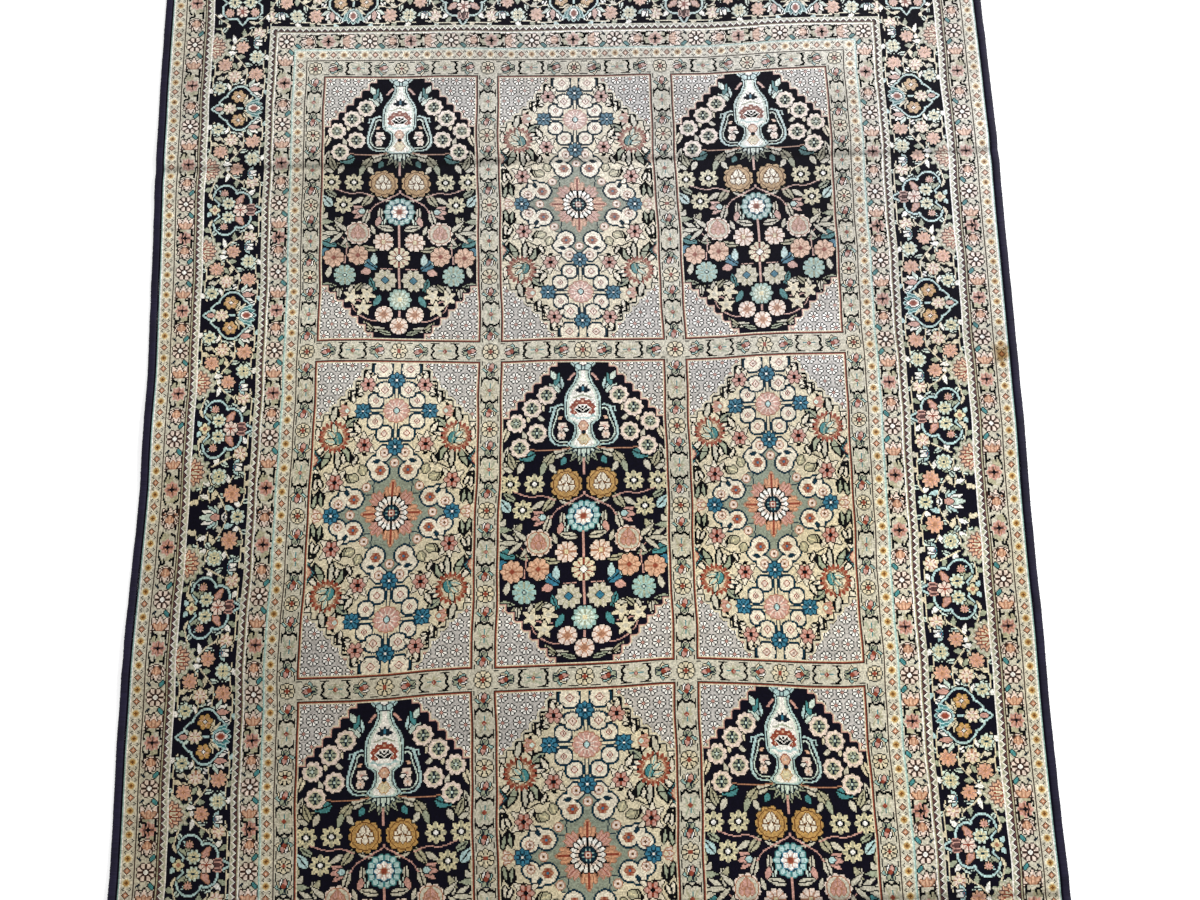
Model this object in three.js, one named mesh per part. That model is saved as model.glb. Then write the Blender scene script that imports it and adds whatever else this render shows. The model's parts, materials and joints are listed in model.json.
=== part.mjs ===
// A hand-knotted silk rug, laid flat: the knotted body with its flat-woven ends,
// an overcast edge cord along each long side, and a fringe of warp ends at the
// head and at the foot. Millimetres, +Z up. The origin lies on the floor under
// the middle of the rug, +X runs across it to the right and +Y towards its head.
import * as THREE from 'three';

// ---------------------------------------------------------------- driving sizes
const RUG_WIDTH = 1220;          // from outside edge cord to outside edge cord
const KNOTTED_LENGTH = 1780;     // the part that carries pile
const PILE_THICKNESS = 5;        // pile and foundation together
const FLAT_END_LENGTH = 12;      // flat-woven strip beyond the last row of knots
const FLAT_END_THICKNESS = 1.6;
const EDGE_CORD_WIDTH = 11;
const EDGE_CORD_THICKNESS = 5;
const FRINGE_LENGTH = 52;
const FRINGE_THICKNESS = 1.6;
const FRINGE_HEADING = 4;        // the knots that hold each bunch of warp ends
const BUNCH_COUNT = 98;          // bunches of warp ends along one end
const BUNCH_FILL = 0.62;         // share of the pitch that a bunch covers
const SEAT_GAP = 0.3;            // running gap between neighbouring pieces

// How far each long side strays outwards from a straight edge, by its place
// along the rug.
const SIDE_WANDER = [
  { along: -902, left: 1, right: 1 },
  { along: -700, left: 0, right: 0 },
  { along: -470, left: -2, right: -2 },
  { along: -300, left: 1, right: -3 },
  { along: -130, left: -1, right: -2 },
  { along: 40, left: -7, right: -1 },
  { along: 200, left: -7, right: 2 },
  { along: 430, left: -1, right: 3 },
  { along: 650, left: 3, right: 3 },
  { along: 902, left: 2, right: -2 },
];

// Where the cloth lies off the floor. Each row is a soft swell that crosses the
// whole rug, from its place at the left side to its place at the right side. A
// negative height is a fold line pressed into the crest of a swell.
const SWELLS = [
  { atLeft: 512, atRight: 524, height: 4.2, spread: 62 },
  { atLeft: 512, atRight: 524, height: -2.6, spread: 12 },
  { atLeft: 118, atRight: 96, height: 4.6, spread: 60 },
  { atLeft: -196, atRight: -178, height: 3.6, spread: 56 },
  { atLeft: -520, atRight: -508, height: 4.0, spread: 62 },
  { atLeft: -520, atRight: -508, height: -2.2, spread: 12 },
];
const LIES_FLAT_BELOW = 0.05;    // cloth this near to the floor touches it

// ---------------------------------------------------------------- shared shape
const HALF_WIDTH = RUG_WIDTH / 2;
const HALF_LENGTH = KNOTTED_LENGTH / 2;
const HALF_OVERALL = HALF_LENGTH + FLAT_END_LENGTH;

function wander(side, along) {
  const rows = SIDE_WANDER;
  const last = rows.length - 1;
  const clamped = THREE.MathUtils.clamp(along, rows[0].along, rows[last].along);
  const upper = Math.max(1, rows.findIndex((row) => row.along >= clamped));
  const before = rows[upper - 1];
  const after = rows[upper];
  const share = (clamped - before.along) / (after.along - before.along);
  return THREE.MathUtils.lerp(before[side], after[side], share);
}

// Distance of the outer edge from the rug's middle line.
function reach(side, along) {
  return HALF_WIDTH + wander(side, along);
}

// Height of the underside above the floor.
function lift(across, along) {
  const share = (across + HALF_WIDTH) / RUG_WIDTH;
  const height = SWELLS.reduce((sum, swell) => {
    const middle = THREE.MathUtils.lerp(swell.atLeft, swell.atRight, share);
    const steps = (along - middle) / swell.spread;
    return sum + swell.height * Math.exp(-steps * steps);
  }, 0);
  return Math.max(0, height - LIES_FLAT_BELOW);
}

// Places along the rug where every piece has a section: each place named in the
// two tables above, steps down both flanks of each swell, and even steps between.
const STATION_PITCH = 62;
const FLANK_STEPS = [-1.7, -1.1, -0.55, 0, 0.55, 1.1, 1.7];

function stations() {
  const kept = SIDE_WANDER.map((row) => row.along);
  const keepIfClear = (places, clearance) => places.forEach((place) => {
    if (kept.every((other) => Math.abs(other - place) >= clearance)) {
      kept.push(place);
    }
  });
  const bySpread = [...SWELLS].sort((a, b) => a.spread - b.spread);
  bySpread.forEach((swell) => {
    const middle = (swell.atLeft + swell.atRight) / 2;
    keepIfClear(FLANK_STEPS.map((step) => middle + step * swell.spread), swell.spread * 0.4);
  });
  const count = Math.round((2 * HALF_OVERALL) / STATION_PITCH);
  const even = Array.from({ length: count }, (_, i) => -HALF_OVERALL + i * STATION_PITCH);
  keepIfClear(even, STATION_PITCH * 0.5);
  return kept.sort((a, b) => a - b);
}

// ---------------------------------------------------------------- solids
// A closed solid through rings of points: each ring has the same number of
// points, in order around the piece, and the first and last rings are capped.
function loft(rings) {
  const around = rings[0].length;
  const positions = rings.flat().flatMap((point) => point.toArray());
  const faces = [];
  for (let ring = 0; ring + 1 < rings.length; ring += 1) {
    for (let i = 0; i < around; i += 1) {
      const a = ring * around + i;
      const b = ring * around + ((i + 1) % around);
      faces.push(a, b, b + around, a, b + around, a + around);
    }
  }
  const last = (rings.length - 1) * around;
  for (let i = 1; i + 1 < around; i += 1) {
    faces.push(0, i + 1, i);
    faces.push(last, last + i, last + i + 1);
  }
  const geometry = new THREE.BufferGeometry();
  geometry.setAttribute('position', new THREE.Float32BufferAttribute(positions, 3));
  geometry.setIndex(faces);
  geometry.computeVertexNormals();
  return geometry;
}

function piece(name, geometry, colour, roughness) {
  const material = new THREE.MeshStandardMaterial({ color: colour, roughness, metalness: 0 });
  const mesh = new THREE.Mesh(geometry, material);
  mesh.name = name;
  return mesh;
}

// The knotted body. Its rings run across the rug, and the flat-woven end is a
// thinner step of the same cloth at the head and at the foot.
const COLUMNS = 12;
const PILE_END_LEAN = 0.5;       // the pile's cut end leans out by this much

function bodyRing(along, thickness) {
  const inset = EDGE_CORD_WIDTH + SEAT_GAP;
  const low = -reach('left', along) + inset;
  const high = reach('right', along) - inset;
  const under = [];
  const over = [];
  for (let i = 0; i <= COLUMNS; i += 1) {
    const across = THREE.MathUtils.lerp(low, high, i / COLUMNS);
    const floor = lift(across, along);
    under.unshift(new THREE.Vector3(across, along, floor));
    over.push(new THREE.Vector3(across, along, floor + thickness));
  }
  return [...over, ...under];
}

function knottedBody() {
  const thinFrom = HALF_LENGTH + PILE_END_LEAN;
  const piled = stations().filter((along) => Math.abs(along) < HALF_LENGTH);
  return loft([
    bodyRing(-HALF_OVERALL, FLAT_END_THICKNESS),
    bodyRing(-thinFrom, FLAT_END_THICKNESS),
    ...[-HALF_LENGTH, ...piled, HALF_LENGTH].map((along) => bodyRing(along, PILE_THICKNESS)),
    bodyRing(thinFrom, FLAT_END_THICKNESS),
    bodyRing(HALF_OVERALL, FLAT_END_THICKNESS),
  ]);
}

// An edge cord: the outermost warps, overcast with dark silk into a flat cord.
// Its section is an oval with a narrow flat underneath.
const CORD_SIDES = 8;

function cordRing(side, along) {
  const outwards = side === 'right' ? 1 : -1;
  const radius = EDGE_CORD_WIDTH / 2;
  const middle = outwards * (reach(side, along) - radius);
  const floor = lift(middle, along);
  const flatten = 1 / Math.cos(Math.PI / CORD_SIDES);
  const ring = [];
  for (let i = 0; i < CORD_SIDES; i += 1) {
    const angle = -((i + 0.5) / CORD_SIDES) * 2 * Math.PI;
    const across = middle + radius * flatten * Math.cos(angle);
    const height = (1 + flatten * Math.sin(angle)) * EDGE_CORD_THICKNESS / 2;
    ring.push(new THREE.Vector3(across, along, floor + height));
  }
  return ring;
}

function edgeCord(side) {
  return loft(stations().map((along) => cordRing(side, along)));
}

// A fringe: one comb, its heading against the flat-woven end and one tooth for
// each bunch of warp ends. headwards is 1 at the head and -1 at the foot.
const TIP_TAPER = 0.8;

function fringe(headwards) {
  const start = HALF_OVERALL + SEAT_GAP;
  const root = start + FRINGE_HEADING;
  const tip = start + FRINGE_LENGTH;
  const low = -reach('left', headwards * start);
  const high = reach('right', headwards * start);
  const pitch = (high - low) / BUNCH_COUNT;
  const outline = new THREE.Shape();
  outline.moveTo(low, headwards * start);
  for (let i = 0; i < BUNCH_COUNT; i += 1) {
    const middle = low + (i + 0.5) * pitch;
    const half = pitch * BUNCH_FILL / 2;
    outline.lineTo(middle - half, headwards * root);
    outline.lineTo(middle - half * TIP_TAPER, headwards * tip);
    outline.lineTo(middle + half * TIP_TAPER, headwards * tip);
    outline.lineTo(middle + half, headwards * root);
  }
  outline.lineTo(high, headwards * start);
  outline.closePath();
  return new THREE.ExtrudeGeometry(outline, {
    depth: FRINGE_THICKNESS,
    bevelEnabled: false,
    steps: 1,
  });
}

// ---------------------------------------------------------------- the rug
const FIELD_COLOUR = 0x9c9278;   // what the pile's many dyes come to together
const CORD_COLOUR = 0x241f38;
const WARP_COLOUR = 0xd9cfb2;

const rug = new THREE.Group();
rug.add(piece('knotted_body', knottedBody(), FIELD_COLOUR, 0.62));
rug.add(piece('edge_cord_left', edgeCord('left'), CORD_COLOUR, 0.6));
rug.add(piece('edge_cord_right', edgeCord('right'), CORD_COLOUR, 0.6));
rug.add(piece('fringe_head', fringe(1), WARP_COLOUR, 0.65));
rug.add(piece('fringe_foot', fringe(-1), WARP_COLOUR, 0.65));

export default rug;
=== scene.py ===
# %% [markdown]
# # A hand-knotted silk rug
#
# The origin is on the floor under the middle of the rug, +X runs across it and +Y
# towards its head. Sizes are written in knots or in millimetres, and become
# metres when a mesh is made.
#
# A weaver works from a chart, a plan with one dye for each knot, and so does this
# script. After the chart come the pile that carries it, the foundation under the
# pile, the overcast edges and the fringe.

# %% Load the frame and measure it
import json
import math
import bpy
import numpy as np
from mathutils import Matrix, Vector

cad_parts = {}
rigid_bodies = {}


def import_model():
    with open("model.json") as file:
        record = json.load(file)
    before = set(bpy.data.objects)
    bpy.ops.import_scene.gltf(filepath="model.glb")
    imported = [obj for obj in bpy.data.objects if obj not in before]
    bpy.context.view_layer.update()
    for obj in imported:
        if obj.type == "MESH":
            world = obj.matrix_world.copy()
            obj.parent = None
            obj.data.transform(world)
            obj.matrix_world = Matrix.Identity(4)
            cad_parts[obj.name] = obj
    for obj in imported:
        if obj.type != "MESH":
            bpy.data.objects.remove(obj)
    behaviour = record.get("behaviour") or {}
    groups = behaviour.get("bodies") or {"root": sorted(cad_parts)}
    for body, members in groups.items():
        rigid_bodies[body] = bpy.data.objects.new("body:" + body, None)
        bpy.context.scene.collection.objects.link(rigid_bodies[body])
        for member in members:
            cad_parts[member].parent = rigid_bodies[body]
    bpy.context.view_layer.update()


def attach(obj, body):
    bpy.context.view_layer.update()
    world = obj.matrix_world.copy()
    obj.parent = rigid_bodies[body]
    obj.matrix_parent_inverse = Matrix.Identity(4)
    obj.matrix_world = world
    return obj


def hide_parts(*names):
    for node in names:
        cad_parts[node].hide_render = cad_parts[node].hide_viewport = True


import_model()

MM = 0.001

# %% [markdown]
# ## The dyes
#
# Silk for a rug like this is dyed in twenty to thirty colours before knotting.
# The chart holds a small whole number for each knot, and this list says what
# colour each number is. A list of names keeps the drawing code readable: it asks
# for "peach", never for a red, green and blue.

# %% The dye list
DYES = {
    "navy": "#090716", "ink": "#030305", "cream": "#dfd3b3", "ivory": "#f9f6ed", "bone": "#ebe1ca",
    "olive": "#b4af90", "sage": "#a3aa90", "gold": "#bf9659", "peach": "#dbb092",
    "rose": "#cc9c8e", "rust": "#924634", "teal": "#0e2c3b", "aqua": "#b6d4d1",
    "turquoise": "#4b8a8b", "mauve": "#5c3f3e", "brown": "#3a261f", "mint": "#cfe0d2",
    "oyster": "#c4bfb8", "sky": "#3b7a93", "clay": "#b07d60", "blush": "#ecd8c8",
    "butter": "#e0d5ab", "slate": "#16212c", "sand": "#cfc9b4", "umber": "#6e4420",
    "celadon": "#9dbfb6", "moss": "#929a88", "apricot": "#d8a27e",
}
NUMBER = {name: number for number, name in enumerate(DYES)}
print(len(DYES), "dyes")

# %% [markdown]
# ## Drawing on the chart
#
# A knot chart is a whole-number array, one cell for each knot, so every motif
# comes out in the small steps that knotting gives it. A picture file could hold
# the same thing, but a motif that is a function can be placed anywhere, at any
# size, mirrored and recoloured, and it stays crisp.
#
# Each motif works on the small window of knots around it. It is painted from
# its outline inwards, as a designer inks it: first the edge, one knot larger
# than the shape, and then the fill.

# %% Painting a shape with its edge
def blank(across, along, dye):
    """A chart of so many knots, all in one dye. Row 0 is at the foot."""
    return np.full((along, across), NUMBER[dye], np.uint8)


def window(chart, x, y, reach):
    """The knots near a place, and how far each lies from it in knots.

    Places are counted in knots from the middle of the chart.
    """
    along, across = chart.shape
    column, row = x + across / 2, y + along / 2
    left, right = max(0, int(column - reach) - 1), min(across, int(column + reach) + 2)
    foot, head = max(0, int(row - reach) - 1), min(along, int(row + reach) + 2)
    dx = np.arange(left, right) + 0.5 - column
    dy = np.arange(foot, head) + 0.5 - row
    return chart[foot:head, left:right], *np.meshgrid(dx, dy)


def grown(mask):
    """The mask with one more knot on each of its four sides."""
    wider = mask.copy()
    wider[1:] |= mask[:-1]
    wider[:-1] |= mask[1:]
    wider[:, 1:] |= mask[:, :-1]
    wider[:, :-1] |= mask[:, 1:]
    return wider


def paint(part, mask, dye, edge=None):
    """Knot the mask in a dye, with an edge one knot wide outside it."""
    if edge:
        part[grown(mask) & ~mask] = NUMBER[edge]
    part[mask] = NUMBER[dye]


def knots_taken(motif, *details):
    """How many knots a motif takes, tried out on a spare piece of ground."""
    spare = blank(99, 99, "navy")
    motif(spare, 0, 0, *details)
    return np.count_nonzero(spare != NUMBER["navy"])


print("a chart of three knots by two:", blank(3, 2, "ivory").tolist())


# %% Round flowers
INNER_RIM = 0.7  # where the inner round of petals ends, as a share of the rim
SLIT_FOOT = 0.3  # where the slits between petals begin, as a share of the size


def flower(chart, x, y, size, petals=8, fill="blush", edge="ink", heart="sage",
           heart_edge=None, slit=None, depth=0.16, heart_size=0.34, turn=0.0, inner=None):
    """A round flower with scalloped petals, seen from the front."""
    part, dx, dy = window(chart, x, y, size + 2)
    rho, angle = np.hypot(dx, dy), np.arctan2(dy, dx) - turn
    wave = np.cos(petals * angle / 2)
    rim = size * (1 - depth + depth * np.abs(wave))
    paint(part, rho < rim, fill, edge)
    if inner:
        paint(part, rho < rim * INNER_RIM, inner)
    if slit:
        beside_slit = 2 * np.abs(wave) * rho / petals
        paint(part, (rho < rim) & (beside_slit < 0.5) & (rho > size * SLIT_FOOT), slit)
    if heart_size:
        paint(part, rho < size * heart_size, heart, heart_edge)


def star_flower(chart, x, y, size, points=8, fill="butter", edge="ink", heart="sage",
                sharp=0.45, turn=0.0, heart_edge="ink", heart_size=0.3):
    """A flower with pointed petals."""
    part, dx, dy = window(chart, x, y, size + 2)
    rho, angle = np.hypot(dx, dy), np.arctan2(dy, dx) - turn
    phase = np.abs((angle * points / (2 * np.pi) + 0.5) % 1 - 0.5) * 2
    paint(part, rho < size * (1 - sharp * phase), fill, edge)
    if heart_size:
        paint(part, rho < size * heart_size, heart, heart_edge)


print("a flower nine knots from middle to rim takes", knots_taken(flower, 9), "knots")


# %% Leaves, stems and sprays
VEIN_HALF, VEIN_END = 0.6, 0.85  # half width in knots, and how far along the leaf it goes


def turned(dx, dy, degrees):
    """Distances along and beside a direction."""
    cos, sin = math.cos(math.radians(degrees)), math.sin(math.radians(degrees))
    return dx * cos + dy * sin, -dx * sin + dy * cos


def leaf(chart, x, y, length, width, degrees, fill="sage", edge="ink", vein=None, bend=0.0, teeth=0):
    """A leaf from its foot at x, y towards a direction, bent and toothed on request."""
    part, dx, dy = window(chart, x, y, length * 1.15 + width)
    along, beside = turned(dx, dy, degrees)
    share = np.clip(along / length, 0, 1)
    beside = beside - bend * length * share ** 2
    half = width / 2 * np.sin(np.pi * share ** 0.8)  # widest a little before the middle
    if teeth:
        half = half * (0.72 + 0.4 * np.abs(np.cos(np.pi * teeth * share)))
    mask = (along > 0) & (along < length) & (np.abs(beside) < half)
    paint(part, mask, fill, edge)
    if vein:
        paint(part, mask & (np.abs(beside) < VEIN_HALF) & (share < VEIN_END), vein)


def fan(chart, x, y, length, width, directions, *look):
    """Leaves of one kind from one foot. The last direction lies on top."""
    for degrees in directions:
        leaf(chart, x, y, length, width, degrees, *look)


def stem(chart, places, dye="cream", thick=1.0):
    """A thin line through a few places, rounded at each of them."""
    places = np.array(places, float)
    ends = np.vstack([2 * places[0] - places[1], places, 2 * places[-1] - places[-2]])
    run = []
    for a, b, c, d in zip(ends, ends[1:], ends[2:], ends[3:]):
        count = int(2 * np.hypot(*(c - b))) + 2
        steps = np.linspace(0, 1, count, endpoint=False)[:, None]
        run.append(0.5 * (2 * b + (c - a) * steps + (2 * a - 5 * b + 4 * c - d) * steps ** 2
                          + (3 * b - a - 3 * c + d) * steps ** 3))
    run = np.vstack(run + [places[-1:]])
    along, across = chart.shape
    for nudge in (np.arange(thick) - (thick - 1) / 2):
        columns = np.floor(run[:, 0] + across / 2 + nudge).astype(int)
        rows = np.floor(run[:, 1] + along / 2).astype(int)
        keep = (columns >= 0) & (columns < across) & (rows >= 0) & (rows < along)
        chart[rows[keep], columns[keep]] = NUMBER[dye]


def spray(chart, x, y, length, degrees, count, fill, edge, width):
    """Leaves to both sides by turns, and one that ends the spray."""
    cos, sin = math.cos(math.radians(degrees)), math.sin(math.radians(degrees))
    for i in range(count):
        share = i / count
        side = 1 if i % 2 else -1
        leaf(chart, x + cos * length * share, y + sin * length * share,
             length * (0.62 - 0.2 * share), width, degrees + side * 48 * (1 - share * 0.5), fill, edge)
    leaf(chart, x + cos * length * 0.45, y + sin * length * 0.45, length * 0.6, width, degrees, fill, edge)


print("a leaf of 14 by 6 takes", knots_taken(leaf, 14, 6, 30), "knots with its edge")


# %% Full roses and buds
def rose(chart, x, y, size, fill="gold", middle="butter", inner="ivory", edge="ink", line="umber"):
    """A full rose: lobed petals round a paler ring, with folded petals at the heart."""
    flower(chart, x, y, size, 11, fill, edge, middle, line, middle, 0.14, 0.78)
    folds = ((-0.3, -0.42, 100), (0.3, -0.42, 80), (-0.42, 0.0, 50), (0.42, 0.0, 130), (0.0, -0.5, 90),
             (-0.2, 0.05, 75), (0.2, 0.05, 105))
    for off_x, off_y, degrees in folds:
        leaf(chart, x + off_x * size, y + off_y * size, size * 0.62, size * 0.32, degrees, inner, line)


def tulip(chart, x, y, size, degrees, fill="rose", edge="ink", cup="sage"):
    """Three pointed petals in a cup."""
    for off in (-32, 32, 0):
        leaf(chart, x, y, size, size * 0.42, degrees + off, fill, edge)
    leaf(chart, x, y, size * 0.45, size * 0.4, degrees, cup, edge)


def diamond(chart, x, y, size, fill="peach", edge="brown", heart="blush"):
    """A small stepped diamond."""
    part, dx, dy = window(chart, x, y, size + 2)
    step = np.abs(dx) + np.abs(dy)
    paint(part, step < size, fill, edge)
    paint(part, step < size * 0.35, heart)


print("a rose takes", knots_taken(rose, 14), "knots")

# %% [markdown]
# ## The spandrels
#
# Every panel has its corners filled with a close repeat of little wheels. A
# repeat this small is best charted knot by knot, as it would be on squared
# paper. It is then laid in rows, each row half a step along, like bricks.

# %% The wheel repeat
WHEEL = """
...##.##...
..#oo#oo#..
.##oo#oo##.
#oo#o#o#oo#
#ooo#+#ooo#
.###+++###.
#ooo#+#ooo#
#oo#o#o#oo#
.##oo#oo##.
..#oo#oo#..
...##.##...
"""
WHEEL_DYES = {"#": "ink", "o": "ivory", "+": "rose"}


def stamp(chart, x, y, rows, dyes):
    """Knot a little hand chart with its middle at x, y. A full stop leaves the ground."""
    lines = rows.strip().split("\n")
    left = round(x + chart.shape[1] / 2 - len(lines[0]) / 2)
    foot = round(y + chart.shape[0] / 2 - len(lines) / 2)
    for up, line in enumerate(reversed(lines)):
        for across, mark in enumerate(line):
            row, column = foot + up, left + across
            if mark in dyes and 0 <= row < chart.shape[0] and 0 <= column < chart.shape[1]:
                chart[row, column] = NUMBER[dyes[mark]]


def mirrored(chart):
    """The right half of the chart, copied to the left as its mirror image."""
    middle = chart.shape[1] // 2
    chart[:, :middle] = chart[:, ::-1][:, :middle]
    return chart


def quarter_mirrored(chart):
    """The upper right quarter of the chart, copied to the other three."""
    mirrored(chart)
    middle = chart.shape[0] // 2
    chart[:middle] = chart[::-1][:middle]
    return chart


PANEL_ACROSS, PANEL_ALONG = 148, 274
WHEEL_STEP_X, WHEEL_STEP_Y = 13.2, 11.0  # from one wheel to the next
FIRST_WHEEL = (7, 5.5)  # in from the upper right corner of the panel


def spandrel_ground():
    """A panel filled all over with the wheel repeat, the same from all four corners."""
    chart = blank(PANEL_ACROSS, PANEL_ALONG, "oyster")
    for row in range(int(PANEL_ALONG / WHEEL_STEP_Y / 2) + 2):
        y = PANEL_ALONG / 2 - FIRST_WHEEL[1] - row * WHEEL_STEP_Y
        for wheel in range(int(PANEL_ACROSS / WHEEL_STEP_X / 2) + 3):
            x = PANEL_ACROSS / 2 - FIRST_WHEEL[0] - wheel * WHEEL_STEP_X + (row % 2) * WHEEL_STEP_X / 2
            stamp(chart, x, y, WHEEL, WHEEL_DYES)
    return quarter_mirrored(chart)


SPANDRELS = spandrel_ground()
print("wheel repeat on", SPANDRELS.size, "knots of each panel")

# %% [markdown]
# ## The stepped lozenge
#
# The middle of each panel is a tall lozenge with stepped sides. A straight slant
# would look drawn with a ruler, so the edge goes out by a few knots at a time,
# one step for every few rows, as knotted slants do.

# %% The lozenge and its frame
LOZENGE_TOP, LOZENGE_FOOT = 21, 20  # half widths at the ends, in knots
SHOULDER, HIP = 76, -76  # the sides are upright between these heights
LOZENGE_STEP = 7


def lozenge(swell=0.0):
    """The knots inside the stepped lozenge. A swell bows its slants out or in."""
    x = np.abs(np.arange(PANEL_ACROSS) + 0.5 - PANEL_ACROSS / 2)[None, :]
    y = (np.arange(PANEL_ALONG) + 0.5 - PANEL_ALONG / 2)[:, None]
    half, end = PANEL_ACROSS / 2, PANEL_ALONG / 2
    head_share = np.clip((y - SHOULDER) / (end - SHOULDER), 0, 1)
    foot_share = np.clip((HIP - y) / (end + HIP), 0, 1)
    bow = swell * np.sin(np.pi * (head_share + foot_share))
    reach = half - (half - LOZENGE_TOP) * head_share - (half - LOZENGE_FOOT) * foot_share + bow
    stepped = np.floor(reach / LOZENGE_STEP) * LOZENGE_STEP + 1
    return x < np.where(head_share + foot_share > 0, stepped, half + 1)


def framed(chart):
    """A finished panel inside three lines: brown, then rust, then cream."""
    for inset, dye in ((2, "cream"), (1, "rust"), (0, "brown")):
        chart[[inset, -1 - inset], inset:chart.shape[1] - inset] = NUMBER[dye]
        chart[inset:chart.shape[0] - inset, [inset, -1 - inset]] = NUMBER[dye]
    return chart


def panel(ground, edges, design, swell=0.0, gate=0):
    """Draw a design inside the lozenge, which thin lines edge from the inside out.

    Only the gate, so many knots to each side of the middle, lets the design out.
    """
    inside = wider = lozenge(swell)
    empty = SPANDRELS.copy()
    for dye in edges:
        line = grown(wider)
        empty[line & ~wider] = NUMBER[dye]
        wider = line
    empty[inside] = NUMBER[ground]
    chart = empty.copy()
    design(chart)
    inside[:, PANEL_ACROSS // 2 - gate:PANEL_ACROSS // 2 + gate] = True
    chart[~inside] = empty[~inside]
    return chart


print("the lozenge holds", lozenge().sum(), "of the", SPANDRELS.size, "knots of a panel")

# %% [markdown]
# ## The dark panels
#
# A white vase stands at the head, and a garden hangs below it: roses, stars, a
# turquoise palmette and rows of flowers. The design is the same on both sides of
# its middle line, so only the right half is placed, motif by motif, in knots
# from the middle of the panel, and the chart is then mirrored.

# %% The vase
VASE_PROFILE = [  # height and half width
    (137, 9), (133, 10), (129, 6.5), (125, 5), (120, 5.5), (114, 8), (108, 12), (102, 14.6), (94, 15.4),
    (84, 15.2), (80, 14), (78, 10), (75, 7.4), (68, 7.4), (63, 9), (59, 12.5), (57, 13), (55, 9),
]


def vase(chart):
    """The vase: a round body on a waisted foot, under a rim of pale blue petals."""
    part, dx, dy = window(chart, 0, 97, 44)
    height = dy + 97
    heights, halves = zip(*VASE_PROFILE[::-1])
    half = np.interp(height, heights, halves, left=0, right=0)
    body = np.abs(dx) < half
    paint(part, grown(body), "aqua", "ink")
    paint(part, body, "mint")
    part[body & (np.abs(dx) < half - 3.5)] = NUMBER["ivory"]
    part[body & (np.abs(dx) > half - 1.4)] = NUMBER["slate"]
    part[body & (np.abs(dx) > half - 0.6)] = NUMBER["aqua"]
    flower(chart, 0, 135, 9, 7, "aqua", "slate", "ivory", "slate", "teal", 0.14, 0.4)
    fan(chart, 0, 106, 8, 3.4, (90, 55, 125, 15, 165), "slate", None)
    leaf(chart, 0, 107, 5, 2.4, 90, "sky", None)
    stem(chart, [(-8, 100), (0, 103), (8, 100)], "sage")
    for rise, out in ((97, 0), (95.5, 5), (91.5, 8.5), (87, 7.5)):
        flower(chart, out, rise, 3.2, 5, "rust", None, "peach", depth=0.2, heart_size=0.3)
    fan(chart, 0, 86, 8, 3, (90, 60, 28), "ink", "ivory")
    stem(chart, [(0, 81.5), (5, 81), (9, 84), (11, 82)], "aqua", 2)
    flower(chart, 0, 74, 4.4, 5, "peach", "rust", "blush", depth=0.3, heart_size=0.3)
    diamond(chart, 0, 68, 2.2, "slate", None, "slate")
    flower(chart, 0, 61.5, 4.6, 6, "cream", "gold", "butter", depth=0.2, heart_size=0.4)


def vase_handle(chart):
    """One scrolled handle, and the sprig that it frames."""
    stem(chart, [(13, 117), (9, 122), (4, 124.5), (-2, 125)], "rose", 2)
    stem(chart, [(13, 91), (19, 94), (23.5, 92), (26, 86), (29, 76), (30, 66), (26, 58.5), (19, 56.5),
                 (10, 57)], "aqua", 2)
    stem(chart, [(15, 88), (19, 90.5), (22, 88), (23.5, 82), (26.5, 74), (27.5, 67), (24, 61), (18, 59.5),
                 (12, 60)], "mint")
    stem(chart, [(24, 92), (28, 91), (29, 87)], "aqua")
    flower(chart, 18.5, 73, 4.8, 6, "blush", "ink", "rose", depth=0.24, heart_size=0.26)
    flower(chart, 19.5, 65.5, 3.8, 6, "blush", "ink", "peach", depth=0.24, heart_size=0.3)
    leaf(chart, 13, 70, 6, 3, 20, "ivory", "ink")
    leaf(chart, 22, 80, 5, 3, 140, "peach", "ink")


print("vase:", VASE_PROFILE[0][0] - VASE_PROFILE[-1][0], "knots from its rim to its foot")


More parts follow.
